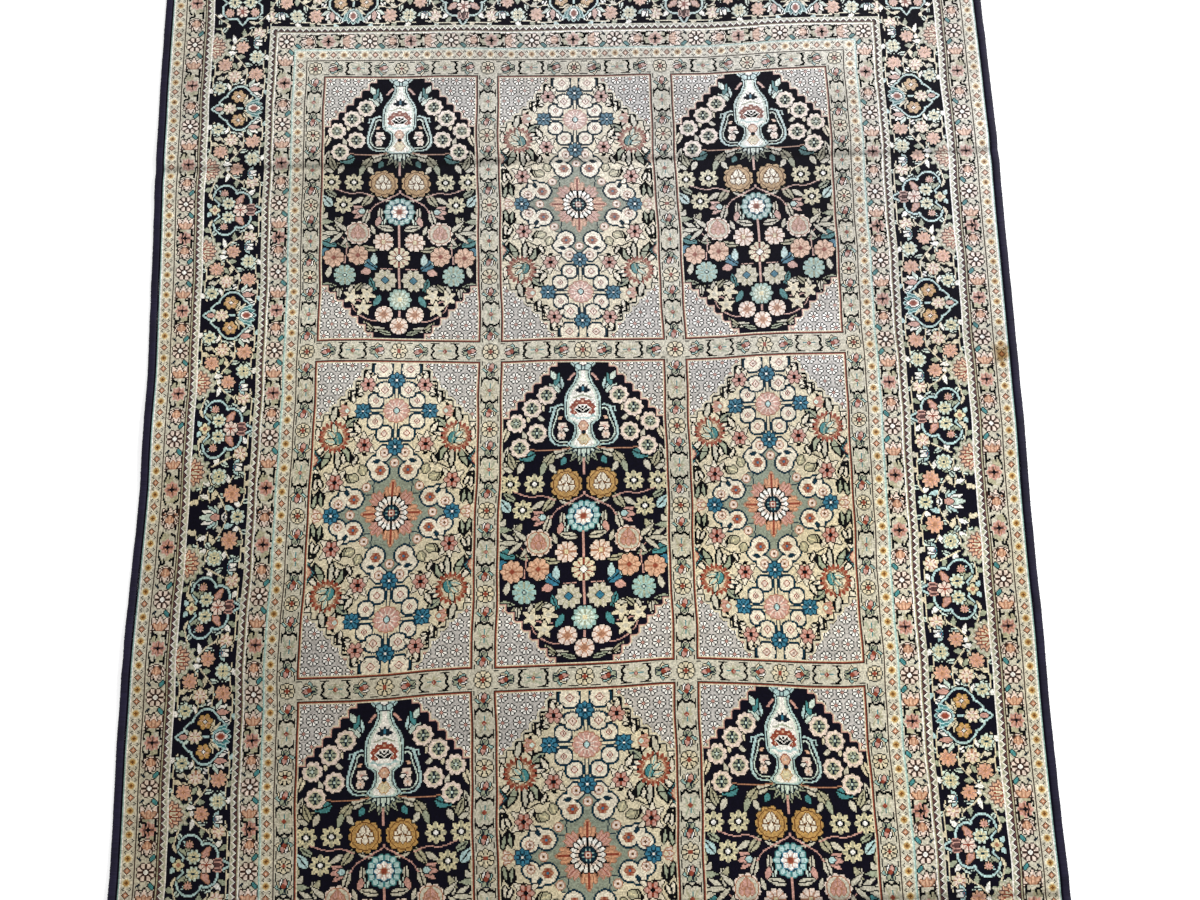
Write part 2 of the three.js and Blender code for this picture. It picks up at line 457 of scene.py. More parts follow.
# %% The garden under the vase
DARK_ROSETTES = [(32, 103), (45, 91), (59.5, 77.5), (41, 68), (56, 55)]
DARK_STARS = [(43, 23), (64, 23), (52, 0)]
DARK_SPRIGS = [  # foot x, foot y, length, width, direction, dye
    (19, 108, 15, 6, 75, "aqua"), (20, 106, 13, 6, 30, "mint"), (25, 112, 13, 5, 100, "turquoise"),
    (24, 118, 10, 5, 50, "mint"), (34, 88, 11, 4, 60, "cream"), (34, 80, 9, 4, 20, "sand"),
    (48, 78, 9, 4, 80, "cream"), (71, 60, 18, 6, 105, "cream"), (50, 62, 9, 4, 60, "sand"),
    (14, 52, 22, 7, -22, "sand"), (26, 50, 20, 8, -58, "olive"), (42, 50, 16, 9, -25, "turquoise"),
    (72, 30, 28, 8, 96, "sand"), (68, 36, 15, 5, 140, "olive"), (68, 42, 14, 5, 120, "sand"),
    (60, 36, 15, 6, 62, "olive"), (62, 34, 10, 4, 20, "sand"), (16, 46, 8, 5, -70, "turquoise"),
    (34, 42, 12, 5, -80, "sage"), (30, 40, 10, 5, -130, "sand"), (53, 42, 12, 5, -70, "sand"),
    (8, 5, 17, 6, 12, "sand"), (25, 12, 18, 7, -60, "olive"), (34, 8, 13, 5, -40, "sand"),
    (18, -2, 17, 5, -98, "sand"), (14, -8, 17, 4, -92, "mint"), (18, -12, 11, 5, -80, "rose"),
    (28, -4, 20, 6, -78, "sand"), (58, 8, 14, 5, 25, "sage"), (62, -2, 15, 8, 45, "aqua"),
    (72, -12, 15, 6, 85, "olive"), (58, -12, 16, 6, -105, "sand"), (52, -12, 13, 5, -60, "olive"),
    (66, -8, 12, 5, -60, "sand"), (74, -18, 13, 5, 170, "sage"), (4, -25, 17, 6, 4, "sand"),
    (18, -46, 24, 5, 2, "olive"), (44, -42, 14, 5, 5, "sage"), (22, -30, 10, 4, 60, "sand"),
    (73, -36, 17, 9, -165, "turquoise"), (70, -44, 13, 8, -120, "sky"),
    (20, -66, 21, 9, 32, "sky"), (22, -62, 13, 6, 78, "aqua"), (30, -58, 9, 5, -20, "aqua"),
    (26, -67, 10, 7, -25, "rose"), (36, -62, 10, 4, 50, "olive"), (30, -82, 20, 6, -18, "sand"),
    (34, -80, 14, 5, -50, "olive"), (44, -82, 13, 4, -80, "sand"), (66, -74, 12, 5, 100, "sand"),
    (72, -82, 14, 5, 175, "sage"), (52, -84, 16, 6, -40, "olive"), (56, -84, 14, 5, -95, "sand"),
    (22, -88, 14, 6, 62, "turquoise"), (18, -92, 13, 6, -70, "turquoise"), (26, -84, 9, 4, -10, "sand"),
    (12, -125, 20, 5, -8, "sand"), (22, -127, 14, 4, 35, "olive"), (6, -130, 14, 4, 8, "sage"),
]


VEINED_FROM = 13  # longer leaves than this have a vein


def dark_garden(chart):
    for x, y, length, width, degrees, dye in DARK_SPRIGS:
        vein = "ink" if length > VEINED_FROM else None
        leaf(chart, x, y, length, width, degrees, dye, "ink", vein, 0.12)
    fan(chart, 0, 57, 19, 6, (0, -26, -52, -78), "sage", "ink", "slate")
    fan(chart, 0, 58, 13, 4, (-12, -40, -66, -90), "mint", "slate")
    stem(chart, [(12, 54), (30, 52), (52, 54)], "clay")
    stem(chart, [(0, 44), (0, 30), (0, 14), (8, 8), (22, 0), (28, -8)], "rose")
    stem(chart, [(24, 8), (34, 12), (48, 12), (60, 16)], "rose")
    stem(chart, [(0, -20), (0, -118)], "rose")
    stem(chart, [(52, -34), (48, -42), (50, -60)], "rose")
    stem(chart, [(6, -66), (16, -66)], "rose")
    stem(chart, [(26, -100), (42, -98), (40, -108), (26, -117), (8, -116)], "rose")
    for x, y in DARK_ROSETTES:
        flower(chart, x, y, 9, 9, "blush", "ink", "slate", "cream", depth=0.16, heart_size=0.54)
        flower(chart, x, y, 4.6, 6, "sage", None, "mint", None, "slate", 0.28, 0.3)
    rose(chart, 15.5, 22, 14, "gold", "gold", "bone")
    for x, y in DARK_STARS:
        for i in range(8):
            turn = math.radians(i * 45)
            foot_x, foot_y = x + 3 * math.cos(turn), y + 3 * math.sin(turn)
            leaf(chart, foot_x, foot_y, 7, 4.6, i * 45, "butter", None, "olive")
        flower(chart, x, y, 3.6, 6, "ink", None, "ivory", depth=0.1, heart_size=0.45)
    flower(chart, 0, -7, 13.6, 14, "aqua", "turquoise", "teal", None, "turquoise", 0.14, 0.66)
    flower(chart, 0, -7, 8.0, 8, "ivory", "sky", "rust", "clay", "rose", 0.24, 0.3)
    tulip(chart, 32, -6, 13, -8, "rose", "ink", "aqua")


print("garden under the vase:", len(DARK_SPRIGS), "leaves on each side")


# %% The foot of the garden, and the whole dark panel
def layered_flower(chart, x, y, size, fill, line, heart):
    """A many-petalled flower drawn with a fine line between its petals."""
    flower(chart, x, y, size, 9, fill, "ink", heart, line, line, 0.16, 0.2)


def dark_foot(chart):
    spray(chart, 42, -28, 30, -2, 6, "sand", "ink", 4)
    rose(chart, 38, -29, 12, "blush", "sand", "rose", "ink", "clay")
    layered_flower(chart, 14.5, -38, 9.6, "blush", "clay", "butter")
    flower(chart, 0, -54, 10.2, 10, "cream", "ink", "ivory", "ink", "rust", heart_size=0.28)
    for x, y in ((38, -52), (60, -54)):
        layered_flower(chart, x, y, 9.8, "peach", "clay", "rust")
    flower(chart, 50, -72, 10.4, 10, "celadon", "ink", "mint", "slate", "sage", 0.2, 0.14)
    flower(chart, 13, -77, 11, 10, "sand", "ink", "sky", "slate", "olive", 0.2, 0.24)
    flower(chart, 0, -96, 11, 11, "celadon", "ink", "butter", None, "sage", 0.2, 0.2, 0, "mint")
    for x, y, turn in ((30, -92, 0.9), (33, -105, 0.3), (44, -94, 0.6)):
        star_flower(chart, x, y, 8.4, 5, "cream", "ink", "sand", 0.62, turn, None, 0.2)
    for x, y in ((14, -111), (0, -122)):
        flower(chart, x, y, 8.4, 8, "blush", "ink", "clay", "peach", "clay", heart_size=0.34)


def dark_design(chart):
    for draw in (dark_garden, dark_foot, vase_handle, vase):
        draw(chart)


DARK_PANEL = framed(mirrored(panel("navy", ["navy", "rose", "cream"], dark_design)))
print("dark panel:", DARK_PANEL.shape, "knots along and across")

# %% [markdown]
# ## The light panels
#
# Between the dark panels lie cream ones, with a star medallion in the middle and
# a smaller rosette above and below it. This design is the same on all four
# sides of its middle, so one quarter is placed and then mirrored twice.

# %% The light garden
LIGHT_LOBES = [  # x, y and radius of the round cells that ring a rosette
    (10, 69, 7.4), (18.5, 80, 7.2), (18.5, 99, 7.2), (10.4, 109, 7.8), (12.2, 128.5, 9),
]
LIGHT_LEAVES = [  # foot x, foot y, length, width, direction, dye
    (44, 75, 14, 7, 132, "sage"), (45, 70, 15, 8, 168, "bone"), (56, 80, 15, 6, 92, "sand"),
    (31, 70, 12, 5, 50, "bone"), (66, 76, 12, 5, 50, "bone"), (68, 64, 12, 5, 80, "bone"),
    (46, 58, 15, 6, 235, "sage"), (51, 55, 17, 6, 258, "sand"), (58, 55, 17, 6, 285, "sage"),
    (63, 58, 14, 5, 310, "bone"), (30, 104, 9, 4, 20, "bone"), (38, 97, 11, 4, 75, "bone"),
    (24, 122, 12, 4, 70, "bone"), (27, 121, 14, 5, 105, "bone"), (33, 117, 12, 4, 40, "bone"),
    (68, 22, 14, 5, 95, "bone"), (62, 24, 10, 4, 60, "bone"), (69, 6, 16, 4, 100, "sage"),
    (61, 8, 14, 4, 72, "sage"), (44, 44, 10, 4, 70, "bone"), (68, 90, 10, 4, 120, "bone"),
    (36, 42, 10, 4, 100, "bone"), (72, 4, 12, 4, 30, "bone"), (66, 36, 10, 4, 20, "bone"),
    (46, 100, 12, 4, 40, "bone"), (40, 104, 11, 4, 112, "bone"), (44, 82, 10, 4, 60, "bone"),
    (36, 28, 9, 4, 40, "olive"),
]
LIGHT_INK = [  # the same for the small dark leaves
    (65, 12, 13, 3, 96), (58, 14, 9, 3, 60), (70, 14, 12, 3, 78), (24, 50, 7, 3, 30), (36, 46, 7, 3, 80),
    (50, 20, 8, 3, 20), (71, 28, 9, 3, 100), (64, 40, 8, 3, 60), (22, 126, 8, 3, 60), (31, 124, 9, 3, 118),
    (50, 84, 8, 3, 70), (40, 98, 9, 3, 50), (49, 92, 9, 3, 130), (36, 108, 8, 3, 40), (20, 62, 6, 3, 20),
]


def ringed(chart, x, y, size):
    """A rounded cell inside a dark line two knots wide, with a small bud in it."""
    for reach, dye in ((size + 1.2, "teal"), (size - 0.8, "bone")):
        flower(chart, x, y, reach, 4, dye, None, depth=0.06, heart_size=0, turn=math.pi / 4)
    diamond(chart, x, y, size * 0.34, "blush", "rust", "umber")


def leafy_flower(chart, x, y, size):
    """A pink flower with a few small dark-edged leaves round it."""
    fan(chart, x, y, size + 6, 5, (40, 85, 130, 215, 320), "bone", "ink")
    flower(chart, x, y, size, 6, "rose", "brown", "ink", None, "rust", 0.34, 0.28)


def corner_rose(chart, x, y):
    """A full rose: rust petals round a pale heart with a folded green leaf in it."""
    flower(chart, x, y, 14.2, 19, "rust", None, "cream", None, "clay", 0.22, 0.7)
    flower(chart, x, y, 10.6, 17, "clay", None, "cream", None, "rust", 0.12, 0.84)
    flower(chart, x, y, 8.6, 8, "cream", "clay", depth=0.1, heart_size=0)
    leaf(chart, x - 4, y - 7, 14, 9, 84, "turquoise", "ink", "sage", -0.3)
    for rise, degrees in ((-5, 10), (-1, 40), (3, 75)):
        leaf(chart, x - 1, y + rise, 9, 4.6, degrees, "cream", "ink", "celadon")


print("light garden:", len(LIGHT_LEAVES + LIGHT_INK), "leaves in each quarter")


# %% The star medallion
def joined(chart, rounds):
    """One pale cell made of a few rounds, inside a dark line two knots wide."""
    first_x, first_y, _ = rounds[0]
    part, dx, dy = window(chart, first_x, first_y, 24)
    inside = np.zeros(part.shape, bool)
    for x, y, size in rounds:
        inside |= np.hypot(dx + first_x - x, dy + first_y - y) < size
    paint(part, grown(grown(inside)), "teal")
    paint(part, inside, "bone")


def star_medallion(chart):
    """A many-petalled rosette on a star of muted green, with pale flower cells round it."""
    flower(chart, 0, 0, 35.5, 8, "moss", "teal", depth=0.12, heart_size=0)
    star_flower(chart, 0, 0, 54, 4, "moss", "teal", "moss", 0.6, 0, None, 0)
    joined(chart, [(12.5, 36, 7.6), (17, 42.5, 6.6), (9.5, 51.5, 6.4)])
    joined(chart, [(33, 13.5, 7.6), (40, 17, 6.2), (46.5, 10, 6.2)])
    for x, y in ((12, 37), (33, 13)):
        flower(chart, x, y, 5, 6, "clay", None, "sky", None, "rust", 0.36, 0.3)
    leaf(chart, 12, 45.5, 8, 4, -8, "teal", None)
    leaf(chart, 38, 16, 8, 4, 62, "teal", None)
    for x, y in ((9, 52), (46.5, 9.5), (0, 43), (23, 23), (36, 0)):
        flower(chart, x, y, 3.1, 8, "blush", "clay", "umber", None, None, 0.1, 0.42)
    for x, y, degrees in ((26, 34, 70), (31, 30, 20)):
        leaf(chart, x, y, 9, 7, degrees, "olive", "ink", "butter")
    for i in range(8):
        turn = math.radians(i * 45)
        reach = (15, 12, 17, 12)[i % 4]
        for off, length in ((-58, 9), (58, 9), (-30, 11), (30, 11), (0, reach)):
            leaf(chart, 12.5 * math.cos(turn), 12.5 * math.sin(turn), length, 5.6, i * 45 + off,
                 "rose" if i % 2 else "apricot", "clay", "rust" if off == 0 else None)
    for i in range(8):
        leaf(chart, 0, 0, 19, 4, i * 45 + 22.5, "ink", None)
    flower(chart, 0, 0, 14.6, 18, "ivory", "ink", "ink", None, "ink", 0.16, 0.5, 0, "blush")
    flower(chart, 0, 0, 7.2, 8, "teal", "ink", "blush", "rust", "celadon", 0.2, 0.34)
    diamond(chart, 0, 0, 1.6, "rust", None, "rust")


print("star medallion:", knots_taken(lambda chart, x, y: star_medallion(chart)), "knots")


# %% The whole light panel
def light_design(chart):
    for foot_x, foot_y, length, width, degrees, dye in LIGHT_LEAVES:
        leaf(chart, foot_x, foot_y, length, width + 1, degrees, "ink", "ink", None, 0.14)
        vein = "slate" if width > 6 else None
        leaf(chart, foot_x, foot_y, length - 1, width - 1, degrees, dye, None, vein, 0.14)
    for foot_x, foot_y, length, width, degrees in LIGHT_INK:
        leaf(chart, foot_x, foot_y, length, width, degrees, "ink", None)
    stem(chart, [(24, 62), (32, 66), (40, 62)], "ink")
    stem(chart, [(56, 48), (66, 50), (72, 60)], "ink")
    stem(chart, [(30, 44), (40, 42), (48, 38)], "ink")
    stem(chart, [(38, 108), (48, 104), (56, 94)], "ink")
    star_medallion(chart)
    for line, width in (("teal", 4), ("cream", 2)):
        stem(chart, [(0, 62), (0, 118)], line, width)
    for rise in (88, 91):
        stem(chart, [(8, rise), (30, rise)], "teal")
    for x, y, size in LIGHT_LOBES:
        ringed(chart, x, y, size)
    flower(chart, 0, 89.5, 10.8, 12, "rose", "clay", "aqua", "ink", "blush", 0.12, 0.22)
    for x, y, size in ((0, 57, 6.6), (0, 118, 6.8), (30, 89.5, 6.8), (53, 0, 6.8)):
        fan(chart, x, y, size + 3.5, 3, (45, 135, 225, 315), "teal", None)
        flower(chart, x, y, size, 8, "sky", "teal", "ivory", "teal", "teal", 0.24, 0.16)
    leafy_flower(chart, 27, 59.5, 6.6)
    leafy_flower(chart, 25.5, 114, 6.6)
    leafy_flower(chart, 51, 28, 7)
    tulip(chart, 42, 90, 9, 0, "rose", "clay", "mint")
    tulip(chart, 61, 0, 9, 0, "blush", "clay", "cream")
    corner_rose(chart, 54, 67)
    part, dx, dy = window(chart, 74, 47, 16)
    side = np.abs(dx) * 1.2 + np.abs(dy)
    paint(part, side < 12, "turquoise", "ink")
    part[(side < 12) & (((dx + dy).astype(int) + part.shape[0]) % 3 != 0)] = NUMBER["slate"]
    paint(part, side < 8, "peach", "rust")


LIGHT_GATE = 8  # the round cells at head and foot reach out to the frame
LIGHT_PANEL = panel("cream", ["ink", "sand", "cream"], light_design, -4.0, LIGHT_GATE)
LIGHT_PANEL = framed(quarter_mirrored(LIGHT_PANEL))
print("light panel:", LIGHT_PANEL.shape, "knots along and across")

# %% [markdown]
# ## The lattice between the panels
#
# A pale band runs round every panel. Along it come a rosette, a small flower, a
# cross between dark brackets and the flower again. The band is charted lying
# down, for any length, and is turned upright where it runs along the rug.

# %% The lattice band
LATTICE_WIDTH, FRAME_WIDTH = 18, 16


def place(chart, piece, x, y):
    """Set a smaller chart into a larger one, with its middle at x, y."""
    foot = int(round(y + chart.shape[0] / 2 - piece.shape[0] / 2))
    left = int(round(x + chart.shape[1] / 2 - piece.shape[1] / 2))
    chart[foot:foot + piece.shape[0], left:left + piece.shape[1]] = piece


def bar(chart, x, y, half):
    """A short level stroke, two knots thick."""
    part, dx, dy = window(chart, x, y, half + 2)
    part[(np.abs(dx) < half) & (np.abs(dy) < 1)] = NUMBER["ink"]


def lattice_rosette(chart, x, y, size):
    flower(chart, x, y, size, 8, "cream", "ink", "rust", None, "ink", 0.14, 0.26)


def half_flower(chart, x, side):
    """A small open flower turned along the band, with a cup of thin leaves behind it."""
    petals = ((-80, "celadon"), (80, "cream"), (-45, "cream"), (45, "celadon"), (-15, "ivory"), (15, "rose"))
    for off, dye in petals:
        leaf(chart, x, 0, 7.5, 4, 90 - side * 90 + off, dye, "ink")
    fan(chart, x, 0, 6, 2.6, [90 - side * 90 + off for off in (150, 180, 210)], "sage", "slate")
    diamond(chart, x + side, 0, 2.4, "rust", None, "rust")


def lattice_run(length, width, units):
    """A band lying down, from one crossing to the next."""
    chart = blank(length, width, "sand")
    reach = width / 2 - 1.5
    step = length / units
    for i in range(units):
        start = i * step - length / 2
        middle = start + step / 2
        lattice_rosette(chart, start, 0, reach - 0.2)
        for off in (-1, 1):
            stem(chart, [(middle - 7, 4 * off), (middle - 3, 2 * off), (middle + 3, 3 * off),
                         (middle + 7, 5 * off)], "olive" if i % 2 else "sage")
        stem(chart, [(middle - 5, 0), (middle + 5, 0)], "turquoise", 2)
        stem(chart, [(middle, -4), (middle, 4)], "olive", 2)
        diamond(chart, middle, 0, 2.4, "rust", None, "rose")
        for side in (-1, 1):
            stem(chart, [(middle + side * 9, reach), (middle + side * 11.5, 3), (middle + side * 10, 0),
                         (middle + side * 12, -4), (middle + side * 8, -reach)], "ink", 2)
            bar(chart, middle + side * 8, -reach, 4.5)
            bar(chart, middle + side * 9, reach, 4)
            bar(chart, start + side * 9, -reach, 4)
            bar(chart, start + side * 10, reach, 3)
            half_flower(chart, middle + side * step * 0.255, side)
    bar(chart, length / 2 - 10, -reach, 3)
    return chart


print("two lattice units:", lattice_run(PANEL_ACROSS + LATTICE_WIDTH, LATTICE_WIDTH, 2).shape, "knots")


# %% The nine panels in their lattice
PITCH = (PANEL_ACROSS + LATTICE_WIDTH, PANEL_ALONG + LATTICE_WIDTH)
FIELD_HALF = [3 * size // 2 + LATTICE_WIDTH + FRAME_WIDTH for size in (PANEL_ACROSS, PANEL_ALONG)]


def band_lines(pitch, half):
    """The middle lines of the frame and of the two bands inside it."""
    frame_line = half - FRAME_WIDTH // 2
    return -frame_line, -pitch // 2, pitch // 2, frame_line


LINES_ACROSS, LINES_ALONG = [band_lines(pitch, half) for pitch, half in zip(PITCH, FIELD_HALF)]


def band_width(line, lines):
    return FRAME_WIDTH if line in (lines[0], lines[-1]) else LATTICE_WIDTH


def panel_field():
    field = blank(2 * FIELD_HALF[0], 2 * FIELD_HALF[1], "sand")
    for y in LINES_ALONG:
        for a, b in zip(LINES_ACROSS, LINES_ACROSS[1:]):
            place(field, lattice_run(b - a, band_width(y, LINES_ALONG), 2), (a + b) / 2, y)
    for x in LINES_ACROSS:
        for a, b in zip(LINES_ALONG, LINES_ALONG[1:]):
            place(field, lattice_run(b - a, band_width(x, LINES_ACROSS), 4).T, x, (a + b) / 2)
    for x in LINES_ACROSS:
        for y in LINES_ALONG:
            width = min(band_width(x, LINES_ACROSS), band_width(y, LINES_ALONG))
            place(field, blank(width, width, "sand"), x, y)
            lattice_rosette(field, x, y, width / 2 - 1.6)
    for column in (-1, 0, 1):
        for row in (-1, 0, 1):
            piece = DARK_PANEL if (column + row) % 2 == 0 else LIGHT_PANEL
            place(field, piece, column * PITCH[0], row * PITCH[1])
    return field


FIELD = panel_field()
print("field:", FIELD.shape, "knots along and across")

# %% [markdown]
# ## The borders
#
# The borders are charted as rings, from the edge of the rug inwards. Each has a
# straight run of any length, lying down with its inner side uppermost, and a
# square for the corner. The run is turned and mirrored to fit all four sides, so
# a border comes to every corner in the same way.

# %% A ring of border
RUG_ACROSS, RUG_ALONG = 772, 1150
RUG = blank(RUG_ACROSS, RUG_ALONG, "navy")


def ring(depth, width, run, corner):
    """Lay a border all round, with its outer side so many knots in from the edge."""
    half_x = RUG_ACROSS / 2 - depth - width / 2
    half_y = RUG_ALONG / 2 - depth - width / 2
    level, upright = run(int(2 * half_x - width)), run(int(2 * half_y - width))
    place(RUG, level, 0, -half_y)
    place(RUG, level[::-1], 0, half_y)
    place(RUG, upright.T, -half_x, 0)
    place(RUG, upright.T[:, ::-1], half_x, 0)
    for side in (-1, 1):
        for end in (-1, 1):
            place(RUG, corner[::-end, ::-side], side * half_x, end * half_y)


print("bare rug:", RUG.shape, "knots along and across")

# %% [markdown]
# ## The narrow borders
#
# Narrow borders set off the wide one. Their motifs are six to sixteen knots
# across, too few for a curve to survive, so most of them are charted knot by knot.
# The step of the diamonds and the zigzag is worked out from the length of the
# side, so that a whole number of them fits and every corner is the same.

# %% The diamond guard
GUARD_WIDTH = 10
DIAMOND = """
....w....
...wkw...
..wkpkw..
.wkprpkw.
wkprhrpkw
.wkprpkw.
..wkpkw..
...wkw...
....w....
"""
BLOTCH = """
...www...
.wwgggww.
.wgsssgw.
wgssbssgw
wgsbbbsgw
wgssbssgw
.wgsssgw.
.wwgggww.
...www...
"""
GUARD_DYES = {"k": "brown", "p": "clay", "r": "apricot", "h": "blush", "g": "butter", "s": "gold",
              "b": "umber", "w": "bone"}


GUARD_PAIR = 20.4  # about how many knots a diamond and a gold flower take


def diamond_guard(length):
    """Diamonds and gold flowers by turns, with small dark checks between them."""
    chart = blank(length, GUARD_WIDTH, "sand")
    whole = length + GUARD_WIDTH  # from corner middle to corner middle
    pairs = round(whole / GUARD_PAIR)
    for i in range(2 * pairs + 1):
        x = i * whole / (2 * pairs) - whole / 2
        stamp(chart, x, 0, DIAMOND if i % 2 else BLOTCH, GUARD_DYES)
    for i in range(2 * pairs):
        x = (i + 0.5) * whole / (2 * pairs) - whole / 2
        for up in (-3, 3):
            stamp(chart, x, up, "k.k\n.k." if up < 0 else ".k.\nk.k", {"k": "ink"})
    return chart


GUARD_CORNER = blank(GUARD_WIDTH, GUARD_WIDTH, "sand")
stamp(GUARD_CORNER, 0, 0, BLOTCH, GUARD_DYES)
print("diamond guard:", GUARD_WIDTH, "knots wide")

# %% The zigzag guard
ZIGZAG_WIDTH, ZIGZAG_PERIOD = 7, 6
ZIGZAG_SAMPLE = 120  # a run long enough to cut a corner from


def zigzag_guard(length, inwards=True):
    """A dark and a white zigzag line between mauve and pale teeth, with flecks of sage."""
    x = np.arange(length) + 0.5 - length / 2
    period = length / round(length / ZIGZAG_PERIOD)
    tooth = 1 + np.round(3 * np.abs(((x / period) % 1) * 2 - 1)).astype(int)
    up = np.arange(ZIGZAG_WIDTH)[:, None]
    chart = np.where(up < tooth, NUMBER["mauve"], NUMBER["sand"]).astype(np.uint8)
    chart[up == tooth] = NUMBER["ink"]
    chart[up == tooth + 1] = NUMBER["ivory"]
    chart[(up >= tooth + 3) & (up < 6) & (tooth < 3)] = NUMBER["sage"]
    chart[0] = NUMBER["olive"]
    return chart if inwards else chart[::-1]


def mitred(run):
    """A corner square where two runs meet on the diagonal."""
    level = run[:, :run.shape[0]]
    up, across = np.indices(level.shape)
    return np.where(up < across, level, level.T)


print("zigzag corner:", mitred(zigzag_guard(ZIGZAG_SAMPLE)).shape, "knots")


# %% The minor border
MINOR_WIDTH = 16
MINOR_LONG = (67, 148, 225, 295, 378, 465)  # rosettes, in knots from the middle of a side
MINOR_SHORT = (40, 118, 197, 280)
WIDE_GAP = 120  # wider gaps take two pink flowers, others one
LONG_SIDE = 800  # runs longer than this are long sides
CORNER_CLEAR = 40  # a rosette nearer to the corner than this is left out


def lotus(chart, x, side):
    """A half-open lotus with its foot at x, and the dark hooks behind it."""
    for rise in (-80, 80, -54, 54, -27, 27, 0):
        leaf(chart, x, rise * 0.05, 12, 5.4, 90 - side * 90 + rise, "blush", "brown")
    for rise in (-40, 40, 0):
        leaf(chart, x, rise * 0.03, 7, 3, 90 - side * 90 + rise, "peach", "clay")
    stem(chart, [(x + side * 3, -7), (x - side * 3, -6), (x - side * 5, -2), (x - side * 8, -3)], "ink", 2)
    for rise in (6, 5):
        stem(chart, [(x - side * 2, rise), (x - side * 8, rise)], "ink")


def cross_flower(chart, x):
    """A muted pink flower with a dark cross in it, between the dark hooks of a cartouche."""
    part, dx, dy = window(chart, x, 0, 13)
    paint(part, (np.abs(dx) < 10.5) & (np.abs(dx) + np.abs(dy) < 15.5), "sand", "olive")
    for side in (-1, 1):
        leaf(chart, x + side * 5, -3 * side, 7, 9, 90 - 90 * side, "olive", None)
    flower(chart, x, 0, 6.8, 8, "rose", None, "mauve", None, "clay", 0.26, 0)
    stem(chart, [(x - 4, 0), (x + 4, 0)], "mauve", 2)
    stem(chart, [(x, -4), (x, 4)], "mauve", 2)
    diamond(chart, x, 0, 2.4, "ink", None, "ink")
    for side in (-1, 1):
        stem(chart, [(x + side * 12, -5), (x + side * 8, -7), (x + side * 3, -7)], "ink", 2)
        stem(chart, [(x + side * 3, 7), (x + side * 9, 6), (x + side * 11, 2)], "ink", 2)


MINOR_ROSETTE = """
....###..###....
...#www##www#...
..##www##www##..
.####ww##ww####.
#www##w##w##www#
#wwww######wwww#
#wwww##hh##wwww#
.#####hhhh#####.
.#####hhhh#####.
#wwww##hh##wwww#
#wwww######wwww#
#www##w##w##www#
.####ww##ww####.
..##www##www##..
...#www##www#...
....###..###....
"""


def minor_rosette(chart, x):
    """A dark rosette with eight pale petals, as wide as the border."""
    stamp(chart, x, 0, MINOR_ROSETTE, {"#": "brown", "w": "blush", "h": "ivory"})


def minor_border(length):
    """Rosettes and pink flowers by turns, with a lotus between every two of them."""
    chart = blank(length, MINOR_WIDTH, "sand")
    corner = (length + MINOR_WIDTH) / 2
    charted = MINOR_LONG if length > LONG_SIDE else MINOR_SHORT
    half = [x for x in charted if x < corner - CORNER_CLEAR] + [corner]
    places = [-x for x in half[::-1]] + half
    for a, b in zip(places, places[1:]):
        crosses = (a + 43, b - 43) if b - a > WIDE_GAP else ((a + b) / 2,)
        for x in crosses:
            cross_flower(chart, x)
        if len(crosses) == 2:
            lotus(chart, (a + b) / 2 - 2, 1)
            lotus(chart, (a + b) / 2 + 2, -1)
    for x in places:
        for side in (-1, 1):
            lotus(chart, x + side * 25, -side)
            stem(chart, [(x + side * 11, -6), (x + side * 15, -3), (x + side * 12, 1)], "ink")
            leaf(chart, x + side * 9, 3, 7, 3, 90 - side * 50, "turquoise", "ink")
            leaf(chart, x + side * 9, -4, 6, 2.4, -90 + side * 40, "slate", None)
        minor_rosette(chart, x)
    return chart


MINOR_CORNER = blank(MINOR_WIDTH, MINOR_WIDTH, "sand")
minor_rosette(MINOR_CORNER, 0)
print("minor border: up to", 2 * len(MINOR_LONG), "rosettes on a long side")

# %% [markdown]
# ## The main border
#
# The widest border is navy. Two kinds of cartouche take turns along it, one with
# its point outwards and one with its point inwards, and sprays of flowers fill
# the lengths between them. The sprays are charted once, each on its own piece of
# ground, and laid again and again. The corners are resolved: each has a cartouche
# of its own. The middle of a long side takes up what the sprays leave over.

# %% The two cartouches
MAIN_WIDTH = 53


def cartouche(chart, x, rounds, tip):
    """An outline of joined rounds, the same to both sides, drawn out to a point."""
    part, dx, dy = window(chart, x, 0, 32)
    inside = np.zeros(part.shape, bool)
    for off_x, off_y, size in rounds:
        inside |= np.hypot(np.abs(dx) - off_x, dy - off_y) < size
    top, base, half = tip
    share = (dy - base) / (top - base)
    inside |= (share > 0) & (share < 1) & (np.abs(dx) < half * (1 - share))
    paint(part, grown(grown(inside)), "aqua", "ink")
    part[inside] = NUMBER["navy"]


FLOWER_KINDS = {  # petals, fill, inner round, slits, heart, its edge and its size
    "mint": (8, "mint", "butter", "sage", "teal", None, 0.2),
    "peach": (9, "peach", "apricot", "rose", "clay", None, 0.2),
    "cream": (7, "cream", "blush", "clay", "butter", None, 0.2),
    "gold": (6, "gold", None, "peach", "ivory", "ink", 0.18),
    "rust": (7, "blush", None, "rust", "rust", None, 0.26),
}


def garden_flower(chart, x, y, size, kind, turn=0.0):
    petals, fill, inner, slit, heart, heart_edge, heart_size = FLOWER_KINDS[kind]
    flower(chart, x, y, size, petals, fill, "ink", heart, heart_edge, slit, 0.32, heart_size, turn, inner)


